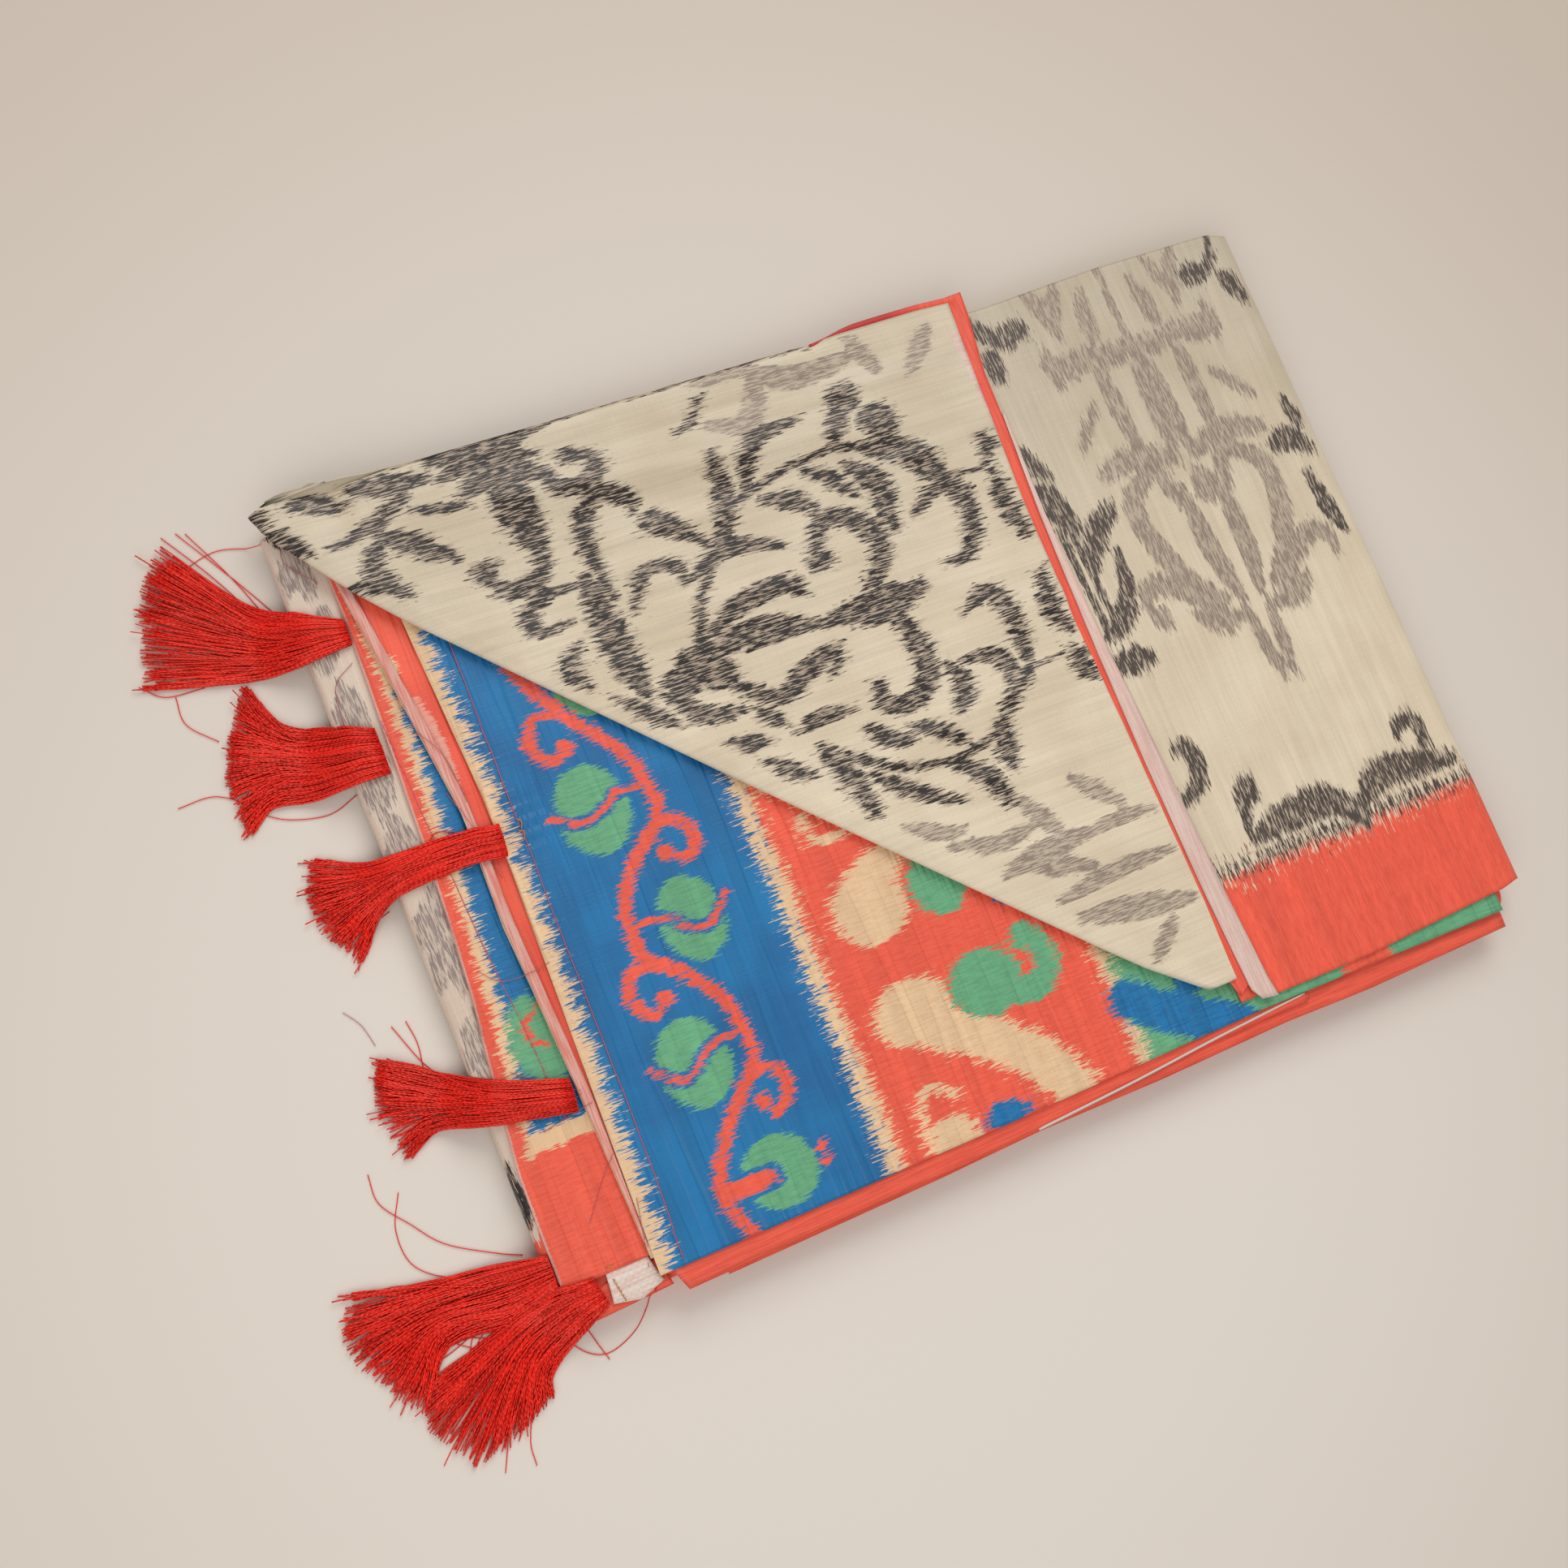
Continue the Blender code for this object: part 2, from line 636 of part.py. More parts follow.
clear_scene()
make_core()
make_wrap()
make_pallu_layers()
make_second_facing()
make_leaf()
make_flap()
make_trims()
make_tassels()
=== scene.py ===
"""The looks of a folded satin saree: printed cloth shells, red silk tassels, stitches and light."""

import functools
import math
import random
from collections import namedtuple

import bpy
import numpy as np
from mathutils import Matrix, Vector
from mathutils.bvhtree import BVHTree


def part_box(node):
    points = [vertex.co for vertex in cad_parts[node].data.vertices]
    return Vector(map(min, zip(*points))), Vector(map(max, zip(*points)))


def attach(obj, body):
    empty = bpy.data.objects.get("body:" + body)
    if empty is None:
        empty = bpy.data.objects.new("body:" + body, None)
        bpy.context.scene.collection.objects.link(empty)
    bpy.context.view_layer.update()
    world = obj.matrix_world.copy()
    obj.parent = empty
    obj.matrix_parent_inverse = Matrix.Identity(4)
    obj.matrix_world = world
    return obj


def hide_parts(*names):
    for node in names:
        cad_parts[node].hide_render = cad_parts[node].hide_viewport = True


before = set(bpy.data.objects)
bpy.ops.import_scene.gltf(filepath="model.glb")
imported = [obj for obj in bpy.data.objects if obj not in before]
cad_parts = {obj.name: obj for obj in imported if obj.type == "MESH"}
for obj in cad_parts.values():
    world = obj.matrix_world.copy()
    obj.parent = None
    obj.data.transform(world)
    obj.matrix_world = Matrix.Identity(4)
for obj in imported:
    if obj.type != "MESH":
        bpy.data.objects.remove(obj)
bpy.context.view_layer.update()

MM = 0.001
PER_METRE = 1000
BODY = "root"
CLOTH = 0.6          # thickness of a shell, mm
FINE = 1.5           # spacing of the points of a printed cloth, mm
FAR = 400.0          # a distance well outside the object, mm
OUTSIDE = -30.0      # the value of a printed shape's field far from it
TOP_TUCK = 3.0       # how far a layer's cloth is drawn in at its upper edge, mm
TUCK_REACH = 30.0    # over how much of the cloth it is drawn in, mm
SIDE_MARGIN = 0.05   # how far inside a node's box the places along a side start, mm
LEVEL = 0.9          # the least upward share of the normal of a face that counts as level

# The camera stands where the photograph was taken from.
CAMERA_PLACE = (-0.3053, -0.0986, 0.7235)
CAMERA_RIGHT = (0.88759, -0.38103, 0.25882)
CAMERA_UP = (0.32605, 0.91662, 0.23129)
CAMERA_BACK = (-0.32537, -0.12091, 0.93782)
CAMERA_LENS = 50.0
CAMERA_SENSOR = 36.0


def srgb(red, green, blue):
    """A colour given in the 0-255 values of a screen, as linear light."""
    out = []
    for value in (red, green, blue):
        share = value / 255
        out.append(share / 12.92 if share <= 0.04045 else ((share + 0.055) / 1.055) ** 2.4)
    return (*out, 1.0)


def tones(main, second):
    """A main colour and the deeper or paler one that it varies to."""
    return srgb(*main), srgb(*second)


CREAM = tones((223, 208, 183), (206, 188, 159))
INK = tones((30, 20, 18), (148, 126, 111))
INK_WORN = tones((74, 63, 56), (160, 142, 126))
GREY_PRINT = tones((143, 127, 114), (178, 162, 143))
CORAL = tones((238, 93, 68), (212, 66, 50))
BLUE = tones((8, 114, 172), (6, 78, 136))
GREEN = tones((103, 171, 126), (72, 139, 108))
PEACH = tones((231, 196, 155), (214, 168, 126))
PINK = tones((221, 195, 184), (205, 142, 131))
SELVAGE = tones((216, 160, 148), (205, 142, 131))
WORN_CORAL = tones((222, 158, 140), (230, 120, 98))
PINK_FACING = tones((217, 170, 158), (215, 110, 93))
REVERSE = tones((217, 198, 181), (203, 181, 163))
REVERSE_PRINT = tones((146, 130, 124), (184, 166, 153))
PALE_FOLD = tones((228, 213, 203), (205, 142, 131))
# painted shade on the shadowed side of the hem's top run
HEM_PAINTED_SHADE = srgb(184, 40, 40)
SILK = srgb(255, 20, 14)
SILK_DEEP = srgb(190, 6, 6)
# painted highlight: the glints on the turns of the silk's twist
SILK_PAINTED_GLINT = srgb(255, 88, 66)
SILK_SHEEN = srgb(255, 190, 170)
THREAD_PINK = srgb(208, 118, 126)
STITCH_PINK = srgb(222, 104, 124)
GOLD_THREAD = srgb(216, 150, 64)
FLOOR = srgb(223, 215, 206)
# the floor's painted shade, away from its painted pool of light
FLOOR_PAINTED_SHADE = srgb(196, 183, 170)


def set_camera():
    camera = bpy.data.objects.new("camera", bpy.data.cameras.new("camera"))
    bpy.context.scene.collection.objects.link(camera)
    camera.data.lens = CAMERA_LENS
    camera.data.sensor_width = CAMERA_SENSOR
    turn = Matrix((CAMERA_RIGHT, CAMERA_UP, CAMERA_BACK)).transposed()
    camera.matrix_world = Matrix.Translation(Vector(CAMERA_PLACE)) @ turn.to_4x4()
    bpy.context.scene.camera = camera


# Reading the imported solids, in millimetres

@functools.cache
def tree_of(node):
    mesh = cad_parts[node].data
    points = [vertex.co * PER_METRE for vertex in mesh.vertices]
    return BVHTree.FromPolygons(points, [list(face.vertices) for face in mesh.polygons])


def hit(node, origin, direction):
    """Where a ray first meets a node, or None."""
    return tree_of(node).ray_cast(Vector(origin), Vector(direction))[0]


def node_box(node):
    low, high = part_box(node)
    return np.array(low) * PER_METRE, np.array(high) * PER_METRE


def edge_table(node, side, count, heights):
    """A node's outermost reach on one side, as places along it and where the edge lies there."""
    low, high = node_box(node)
    across = 0 if side in ("left", "right") else 1
    along = 1 - across
    inward = 1 if side in ("left", "bottom") else -1
    direction = [0, 0, 0]
    direction[across] = inward
    found = []
    for place in np.linspace(low[along] + SIDE_MARGIN, high[along] - SIDE_MARGIN, count):
        reached = []
        for height in heights:
            origin = [0, 0, height]
            origin[along] = place
            origin[across] = -FAR * inward
            point = hit(node, origin, direction)
            if point is not None:
                reached.append(point[across] * inward)
        if reached:
            found.append((place, min(reached) * inward))
    return np.array(found)


def read(table, place):
    return np.interp(place, table[:, 0], table[:, 1])


def outline_of(node):
    """The edge of a node's upper face, as a closed loop of places that goes anticlockwise."""
    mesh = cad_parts[node].data
    spots = np.round(np.array([vertex.co for vertex in mesh.vertices]) * PER_METRE, 2)
    names = [tuple(spot) for spot in spots]
    steps = set()
    for face in mesh.polygons:
        if face.normal.z > LEVEL:
            corners = [names[index] for index in face.vertices]
            steps.update(zip(corners, corners[1:] + corners[:1]))
    following = {start: end for start, end in steps if (end, start) not in steps}
    loops = []
    while following:
        start, place = following.popitem()
        loop = [start]
        while place in following:
            loop.append(place)
            place = following.pop(place)
        loops.append(loop)
    return np.array(max(loops, key=len))[:, :2]


CORNERS = ((-1, -1), (1, -1), (1, 1), (-1, 1))


def run_along(path):
    """How far along a path each of its places lies."""
    return np.concatenate([[0], np.cumsum(np.linalg.norm(np.diff(path, axis=0), axis=1))])


def resampled(path, shares):
    """Places at the given shares of a path's length."""
    run = run_along(path)
    return np.column_stack([np.interp(shares * run[-1], run, path[:, axis]) for axis in (0, 1)])


def filled_outline(node, x_shares, y_shares):
    """A grid of places whose four edges lie on the four sides of a node's outline."""
    loop = outline_of(node)
    corners = [int(np.argmax(loop @ np.array(corner))) for corner in CORNERS]
    cuts = [(corner - corners[0]) % len(loop) for corner in corners] + [len(loop)]
    loop = np.roll(loop, -corners[0], axis=0)
    closed = np.vstack([loop, loop[:1]])
    bottom, right, top, left = (closed[start : end + 1] for start, end in zip(cuts, cuts[1:]))
    right_share = x_shares[None, :, None]
    left_share = 1 - right_share
    top_share = y_shares[:, None, None]
    low_share = 1 - top_share
    rows = resampled(bottom, x_shares)[None] * low_share + resampled(top[::-1], x_shares)[None] * top_share
    near = resampled(left[::-1], y_shares)[:, None] * left_share
    far = resampled(right, y_shares)[:, None] * right_share
    low_corners = bottom[0] * left_share * low_share + bottom[-1] * right_share * low_share
    top_corners = top[-1] * left_share * top_share + top[0] * right_share * top_share
    return rows + near + far - (low_corners + top_corners)


# Small numeric helpers

def smoothstep(value):
    value = np.clip(value, 0.0, 1.0)
    return value * value * (3 - 2 * value)


NOISE_VALUES = 4096
NOISE_START = 2000      # the value that lies at a place of 0
NOISE_FADE = 1.7        # how much fainter each octave is than the one before
NOISE_REACH = 1.8


def wave_noise(x, seed, spacing, octaves=3):
    """A smooth uneven curve through seeded random values, about from -1 to 1."""
    x = np.asarray(x, float)
    total = np.zeros_like(x)
    for octave in range(octaves):
        values = np.random.RandomState(seed * 31 + octave).uniform(-1, 1, NOISE_VALUES)
        place = x / (spacing / 2**octave) + NOISE_START
        base = np.floor(place).astype(int) % (NOISE_VALUES - 1)
        share = smoothstep(place - np.floor(place))
        total += (values[base] * (1 - share) + values[base + 1] * share) / NOISE_FADE**octave
    return total / NOISE_REACH


def smooth_path(points, steps=8):
    """A smooth curve through points, as closely spaced places."""
    points = np.array(points, float)
    padded = np.concatenate([[2 * points[0] - points[1]], points, [2 * points[-1] - points[-2]]])
    out = []
    for number in range(1, len(padded) - 2):
        before, start, end, after = padded[number - 1 : number + 3]
        bend = 2 * before - 5 * start + 4 * end - after
        twist = 3 * start - before - 3 * end + after
        for step in range(steps):
            share = step / steps
            curve = (end - before) * share + bend * share * share + twist * share**3
            out.append(0.5 * (2 * start + curve))
    out.append(padded[-2])
    return np.array(out)


def away_from_line(x, y, start, end):
    """Each place's distance from a straight line, and its share of the way along it."""
    step = end - start
    along_line = (x - start[0]) * step[0] + (y - start[1]) * step[1]
    share = np.clip(along_line / (step @ step + 1e-9), 0, 1)
    return np.hypot(x - start[0] - share * step[0], y - start[1] - share * step[1]), share


# Printed shapes, as fields that are positive inside, in millimetres of flat cloth

# A print holds four tables. A stroke's row is its width, then the x and y of each place along it:
# brushes are thickest in the middle, lines are even and drops run to a point. A dot's row is the x
# and y of its middle, then its two radii.
Print = namedtuple("Print", "brushes lines drops dots", defaults=((), (), (), ()))
STROKE_STEPS = 5
STROKE_MARGIN = 8.0     # how far round a stroke its field is worked out, mm
SLOPE_STEP = 0.6        # the step along the thread that shows how fast a field changes, mm


def brush_taper(share):
    return 0.24 + 0.8 * np.sin(np.pi * (0.08 + 0.84 * share))


def even_taper(share):
    return np.ones_like(share)


def drop_taper(share):
    return 1 - 0.92 * share


def add_stroke(best, x, y, row, taper):
    """Raises a field to one stroke's own where the stroke is nearer."""
    width = row[0]
    path = smooth_path(np.reshape(row[1:], (-1, 2)), STROKE_STEPS)
    half = width / 2 * taper(np.linspace(0, 1, len(path)))
    low = path.min(axis=0) - width - STROKE_MARGIN
    high = path.max(axis=0) + width + STROKE_MARGIN
    near = (x > low[0]) & (x < high[0]) & (y > low[1]) & (y < high[1])
    if not near.any():
        return
    near_x = x[near]
    near_y = y[near]
    inside = np.full(near_x.shape, OUTSIDE)
    for start, end, first, last in zip(path, path[1:], half, half[1:]):
        distance, share = away_from_line(near_x, near_y, start, end)
        inside = np.maximum(inside, first * (1 - share) + last * share - distance)
    best[near] = np.maximum(best[near], inside)


def print_field(shapes, x, y):
    """How far inside the nearest of a print's shapes each place is."""
    best = np.full(x.shape, OUTSIDE)
    for rows, taper in zip(shapes, (brush_taper, even_taper, drop_taper)):
        for row in rows:
            add_stroke(best, x, y, row, taper)
    for middle_x, middle_y, radius_x, radius_y in shapes.dots:
        away = np.hypot((x - middle_x) / radius_x, (y - middle_y) / radius_y)
        best = np.maximum(best, (1 - away) * min(radius_x, radius_y))
    return best


def printed(shapes, thinner=0.0):
    """A print's field as a function of the place, perhaps with all its shapes made thinner."""
    def field(x, y):
        return print_field(shapes, x, y) - thinner

    return field


def slope_of(function, x, y, thread):
    """A field and how fast it changes along the thread, both at each place."""
    value = function(x, y)
    ahead = function(x + SLOPE_STEP, y) if thread == "x" else function(x, y + SLOPE_STEP)
    return value, np.clip(np.abs(ahead - value) / SLOPE_STEP, 0.0, 1.0)


# The pale print on the leaf is the same left and right of a line that leans a little.
LEAF_TOP = 140.0
LEAF_MIDDLE = 138.0
LEAF_LEAN = 0.03


def mirrored(rows):
    """The rows and their mirror images about the leaf's middle line."""
    twins = []
    for row in rows:
        twin = [row[0]]
        for x, y in np.reshape(row[1:], (-1, 2)):
            twin += [2 * (LEAF_MIDDLE + (LEAF_TOP - y) * LEAF_LEAN) - x, y]
        twins.append(tuple(twin))
    return (*rows, *twins)


# The black scrolls and leaves on the turned flap
FLAP_INK = Print(
    brushes=(
        (8, -186, 139, -176, 137, -167, 132), (9, -164, 138, -152, 136, -137, 134),
        (12, -134, 139, -122, 141, -110, 140, -95, 141), (10, -133, 132, -122, 135, -112, 133, -99, 132),
        (9, -128, 124, -119, 128, -112, 129), (9, -112, 127, -104, 126, -96, 123),
        (15, -114, 142, -112, 115, -110, 98), (8, -110, 99, -112, 90, -124, 87, -131, 95),
        (8, -104, 131, -95, 117, -84, 116, -79, 124, -87, 129),
        (6, -180, 119, -165, 122, -150, 129, -142, 138), (9, -161, 120, -150, 113, -138, 104),
        (5, -146, 125, -136, 122, -127, 120), (8, -160, 119, -166, 107, -158, 96),
        (6, -177, 105, -168, 102, -159, 98), (8, -198, 132, -191, 127, -184, 120),
        (8, -92, 74, -93, 99, -84, 110, -74, 107, -73, 101),
        (7, -98, 82, -114, 82, -122, 76, -120, 70, -110, 71), (12, -98, 84, -97, 60, -94, 38),
        (6, -86, 67, -78, 79, -66, 78, -64, 71), (8, -64, 71, -45, 78, -27, 73),
        (9, -67, 50, -47, 58, -30, 59, -27, 54), (10, -76, 42, -50, 47, -24, 42),
        (8, -73, 40, -50, 22, -37, 27, -24, 31, -27, 24), (9, -18, 64, -8, 77, 5, 72, 8, 59, -6, 44),
        (9, -6, 42, 5, 32, 8, 15, -2, 5, -13, 7, -13, 15), (14, -18, 42, 0, 41, 17, 43),
        (9, -39, 112, -39, 97, -45, 82), (8, -31, 96, -22, 112, -3, 116), (8, 6, 102, 13, 112, 18, 122),
        (12, 17, 99, 35, 90, 44, 72), (8, -26, 91, -17, 88, -9, 82), (7, -8, 97, 1, 91, 8, 82),
        (10, 8, 94, 17, 84, 17, 66), (8, 27, 69, 36, 75, 45, 75, 47, 62, 40, 49, 31, 48),
        (8, 62, 76, 62, 60, 65, 48), (8, 30, 29, 41, 33, 46, 20, 44, 1), (8, 64, 34, 62, 20, 66, 9),
        (8, 62, 4, 64, -3, 67, -10), (8, 14, 13, 18, 4, 12, -5), (8, 21, 12, 34, 10, 37, -2, 29, -9),
        (8, -23, 1, -16, -6, -8, -8), (7, -7, -3, 2, -9, 10, -16), (9, -42, 0, -36, -14, -33, -29),
        (7, -29, -15, -16, -26, -1, -35), (8, 1, -21, 12, -30, 16, -42), (8, 27, -14, 23, -22, 22, -31),
        (7, -73, 13, -66, 10, -59, 8), (7, -47, 8, -37, 10, -26, 9), (7, -63, 2, -56, -4, -49, -9),
        (6, -59, 21, -55, 16, -51, 12), (7, -110, 62, -116, 54, -112, 46), (8, -88, 36, -76, 24, -64, 22),
        (7, -104, 40, -94, 30, -88, 24),
    ),
    lines=(
        (4, -70, 48, -60, 66, -45, 86, -30, 95, 0, 101, 24, 97), (5, -52, 42, -36, 42, -20, 41),
        (3.5, 45, 79, 60, 78, 67, 88), (3, 44, 1, 55, 2, 67, 1),
        (4.5, -42, -1, -20, -15, 0, -20, 18, -18, 30, -10, 43, 1), (3.5, -34, 134, -40, 126, -46, 124),
        (2.8, -84, 141.4, -57, 140.8, -34, 141, -11, 141, 10, 140.8),
    ),
    drops=((11, -67, 95, -58, 88, -49, 79), (9, -131, 96, -128, 92)),
    dots=(
        (18, 118, 6, 7), (27, 106, 8, 8), (64, 86, 4, 5), (-72, 42, 9, 8), (-66, 36, 7, 6), (-80, 38, 8, 6),
        (-15, 63, 5, 4.5), (-130, 97, 4.5, 4), (-87, 127, 5, 4), (-197, 137, 5, 4),
    ),
)
# The faded print on the turned flap
FLAP_GREY = Print(
    brushes=(
        (6, -34, 139, -20, 140, -9, 138), (9, -12, 137, 5, 131, 26, 133),
        (8, -10, 138, -15, 126, -22, 119, -34, 123), (6, 29, 139, 32, 132, 35, 125),
        (6, 60, 135, 54, 128, 48, 121), (6, -11, -49, 5, -54, 21, -52), (6, 20, -43, 24, -50, 29, -57),
        (5, 41, -41, 48, -48, 56, -56), (8, 4, -65, 22, -62, 41, -62), (6, 14, -67, 25, -70, 36, -73),
        (5, 39, -62, 52, -61, 66, -62), (6, 19, -81, 42, -78, 66, -78), (9, 24, -89, 45, -93, 66, -97),
        (5, 44, -113, 50, -107, 56, -102), (5, -24, -37, -14, -43, -6, -45),
    ),
)
# The print on the leaf at the right
LEAF_INK = Print(
    brushes=(
        (7, 77, 134, 82, 126, 90, 122, 97, 126), (11, 76, 63, 80, 56, 85, 45), (9, 102, 48, 93, 42, 84, 27),
        (8, 97, 31, 94, 15, 86, 5, 79, 2), (10, 78, -8, 85, -9, 92, -10),
        (7, 78, -65, 87, -61, 91.5, -54, 90, -46.5, 85, -45),
        (6, 100, -86, 101.5, -76, 103.5, -69, 108, -66.5, 109, -71),
        (12, 102, -86, 120, -83, 136, -84, 147, -95), (11, 146, -91, 160, -82, 178, -83, 193, -86),
        (6, 174, -71, 176, -67, 181, -66, 184.5, -70, 184, -76, 179, -81),
        (4.5, 189, 140, 188, 132, 184, 127, 178, 125), (8, 188, 122, 191, 117, 194, 110),
        (5, 190, 67, 192, 60, 193, 54), (9, 178, 50, 185, 52, 193, 45), (7, 187, 36, 189, 22, 192, 11),
        (6, 84, 66, 79, 72, 77, 80),
    ),
    lines=((3, 78, 46, 79, 20, 80, 4), (3, 82, 45, 84, 22, 84, 4)),
    dots=((94, 124, 7, 4), (81, 113, 4, 7), (107, -71, 2.5, 3), (176.5, 125.5, 6, 4.5)),
)
LEAF_GREY = Print(
    brushes=mirrored(
        (
            (6, 104, 139, 109, 128, 112, 117), (5, 118, 139, 114, 128, 111, 119),
            (7, 127, 130, 125, 120, 124, 111), (8, 101, 108, 110, 104, 119, 108),
            (7, 119, 107, 129, 104, 141, 106), (5, 103, 113, 102, 106, 103, 99),
            (7, 121, 106, 122, 85, 124, 59), (7, 137, 102, 137, 80, 137, 60),
            (4, 101, 73, 107, 80, 113, 87), (8, 104, 60, 120, 63, 137, 58),
            (8, 126, 58, 112, 48, 112, 32, 120, 12, 131, 1), (6, 125, 58, 128, 50, 130, 41),
            (8, 133, 46, 134, 20, 138, 0), (7, 100, 4, 100, 12, 108, 14, 118, 8, 128, -4, 136, -8),
            (7, 117, -1, 124, -6, 131, -8), (5, 137, -3, 139, -20, 141, -34),
        ),
    ),
    lines=((3, 138, 139, 138, 120, 139, 103),),
    dots=((103, 2, 4, 4), (143, 45, 5, 7)),
)

# The bands of the pallu run up the cloth, and each boundary keeps to one x.
BLUE_TO = -78.0
RED_FROM = -71.5
RED_TO = 23.5
GREEN_FROM = 28.6
BAND_LAP = 3.0          # how far the red band runs under the cream ones, mm

# The slits across the vine's round leaves, which both prints below draw
SLITS = (
    (-105, 9, -116, 10, -122, 6, -132, 4, -141, 9),
    (-129, -35, -116, -36, -111, -41, -102, -43, -94, -35),
    (-106, -81, -118, -81, -128, -88, -134, -88, -141, -82),
)
VINE = Print(
    brushes=(
        (4.5, -124, 42, -134, 43, -138, 33, -132, 27, -127, 30),
        (4.5, -113, -7, -101, -5, -96, -13, -101, -19, -108, -15),
        (4.5, -122, -51, -134, -49, -138, -57, -133, -65, -127, -61),
        (4.5, -115, -97, -103, -95, -99, -103, -105, -110, -109, -105),
    ),
    lines=(
        (4.6, -136, 74, -135, 64, -128, 49, -120, 37, -111, 26, -105, 12, -106, -3, -120, -15, -128, -28,
         -129, -45, -118, -55, -109, -67, -106, -78, -107, -91, -122, -107, -131, -120, -134, -130, -128,
         -146),
        *[(2.2, *slit) for slit in SLITS],
        (6, -133, -128, -126, -129, -117, -129),
    ),
    dots=(
        (-127, 30, 3, 3), (-108, -15, 3, 3), (-127, -61, 3, 3), (-109, -105, 3, 3), (-96, -126, 2, 1.6),
        (-96, -131, 2, 1.6),
    ),
)
VINE_LEAVES = Print(
    dots=(
        (-113, 52, 11, 14), (-126, 7, 13, 16), (-108, -39, 12, 15), (-126, -84.5, 13, 15.5),
        (-112.5, -128.5, 13.5, 12.5),
    ),
)
VINE_SLITS = Print(
    lines=(*[(5, *slit) for slit in SLITS], (9.5, -133, -128, -126, -129, -116, -129)),
)
# The cream paisleys, the green scrolls and the blue spots beyond the vine
PAISLEYS = Print(
    lines=(
        (17, -44, -103, -28, -113, -13, -126, -2, -143), (3, -60, -143, -59, -129, -53, -123, -45, -128),
        (3.5, -58, -20, -57, -29, -46, -30, -41, -24), (10, -68, 6, -62, -4, -52, -14, -47, -20),
    ),
    drops=(
        (26, -49, -58, -41, -47, -22, -34), (17, -45, -52, -28, -38), (18, -44, -50, -31, -41, -23, -33),
    ),
    dots=((-47, -97, 16, 11.5), (-51, -142, 10, 8), (-47, -58, 14, 12.5)),
)
GREEN_SCROLLS = Print(
    lines=((10, -12, -103.5, 0, -104.5, 6, -98.5, 5, -90.5, 1, -86.5),),
    dots=((-21, -58, 11, 12), (-18.5, -97, 14.5, 12), (3, -70, 5, 5)),
)
BLUE_SPOTS = Print(
    lines=((15, 29, -122, 44, -133, 66, -145), (10, 47, -132, 52, -125, 56, -118)),
    dots=((-30, -142, 9, 5.5), (3, -71, 5, 3.5)),
)
RED_SPOTS = Print(dots=((-29, -143, 2.6, 2.4), (124, -144, 11, 7)))


def pallu_red(x, y):
    band = np.minimum(x - RED_FROM + BAND_LAP, RED_TO + BAND_LAP - x)
    return np.maximum.reduce([band, print_field(VINE, x, y), print_field(RED_SPOTS, x, y)])


def pallu_cream(x, y):
    first = np.minimum(x - BLUE_TO + 1.2 * wave_noise(y, 4, 7), RED_FROM - x + 1.2 * wave_noise(y, 8, 6))
    second = np.minimum(x - RED_TO + wave_noise(y, 6, 6), GREEN_FROM - x + wave_noise(y, 7, 6))
    return np.maximum.reduce([first, second, print_field(PAISLEYS, x, y)])


def pallu_green(x, y):
    return np.maximum(x - RED_TO, print_field(VINE_LEAVES, x, y))


# Making meshes

def mesh_object(name, points, faces, material):
    mesh = bpy.data.meshes.new(name)
    mesh.from_pydata((np.asarray(points) * MM).tolist(), [], faces)
    mesh.shade_smooth()
    mesh.materials.append(material)
    piece = bpy.data.objects.new(name, mesh)
    bpy.context.scene.collection.objects.link(piece)
    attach(piece, BODY)
    return piece


def grid_faces(rows, columns):
    start = (np.arange(rows - 1)[:, None] * columns + np.arange(columns - 1)[None, :]).ravel()
    return np.stack([start, start + 1, start + columns + 1, start + columns], axis=1).tolist()


def add_vectors(piece, name, values):
    attribute = piece.data.attributes.new(name, "FLOAT_VECTOR", "POINT")
    attribute.data.foreach_set("vector", np.asarray(values, np.float32).ravel())


def cloth_shell(node, grid, material):
    """A thin shell on a grid of points, which takes a solid's place."""
    piece = mesh_object(f"{node}_cloth", grid.reshape(-1, 3), grid_faces(*grid.shape[:2]), material)
    solid = piece.modifiers.new("thickness", "SOLIDIFY")
    solid.thickness = CLOTH * MM
    solid.offset = -1
    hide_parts(node)
    return piece


def printed_cloth(node, grid, flat, material, fields, thread="x"):
    """A cloth shell with its flat places and its print's fields stored on its points."""
    piece = cloth_shell(node, grid, material)
    flat = flat.reshape(-1, 2)
    add_vectors(piece, "flat", np.column_stack([flat, np.zeros(len(flat))]))
    stored = [slope_of(field, flat[:, 0], flat[:, 1], thread) for field in fields]
    blank = np.full(len(flat), OUTSIDE)
    for start in range(0, len(stored), 3):
        group = stored[start : start + 3]
        group += [(blank, blank)] * (3 - len(group))
        for kind, values in zip(("print", "slope"), zip(*group)):
            add_vectors(piece, f"{kind}_{start // 3}", np.column_stack(values))
    return piece


def layer_grid(node, x_shares, y_shares, relief):
    """A flat layer's grid within its solid's outline, raised by a relief and tucked in at the top."""
    places = filled_outline(node, x_shares, y_shares)
    high = node_box(node)[1]
    x = places[:, :, 0]
    y = places[:, :, 1]
    y = y - TOP_TUCK * smoothstep((y - high[1] + TUCK_REACH) / TUCK_REACH)
    return np.dstack([x, y, high[2] + relief(x, y)]), np.dstack([x, y])


def inward_from(grid):
    """A function that says how far a place lies from a layer's left edge."""
    edge = grid[:, 0]

    def inward(x, y):
        return x - np.interp(y, edge[:, 1], edge[:, 0])

    return inward


# Shader building

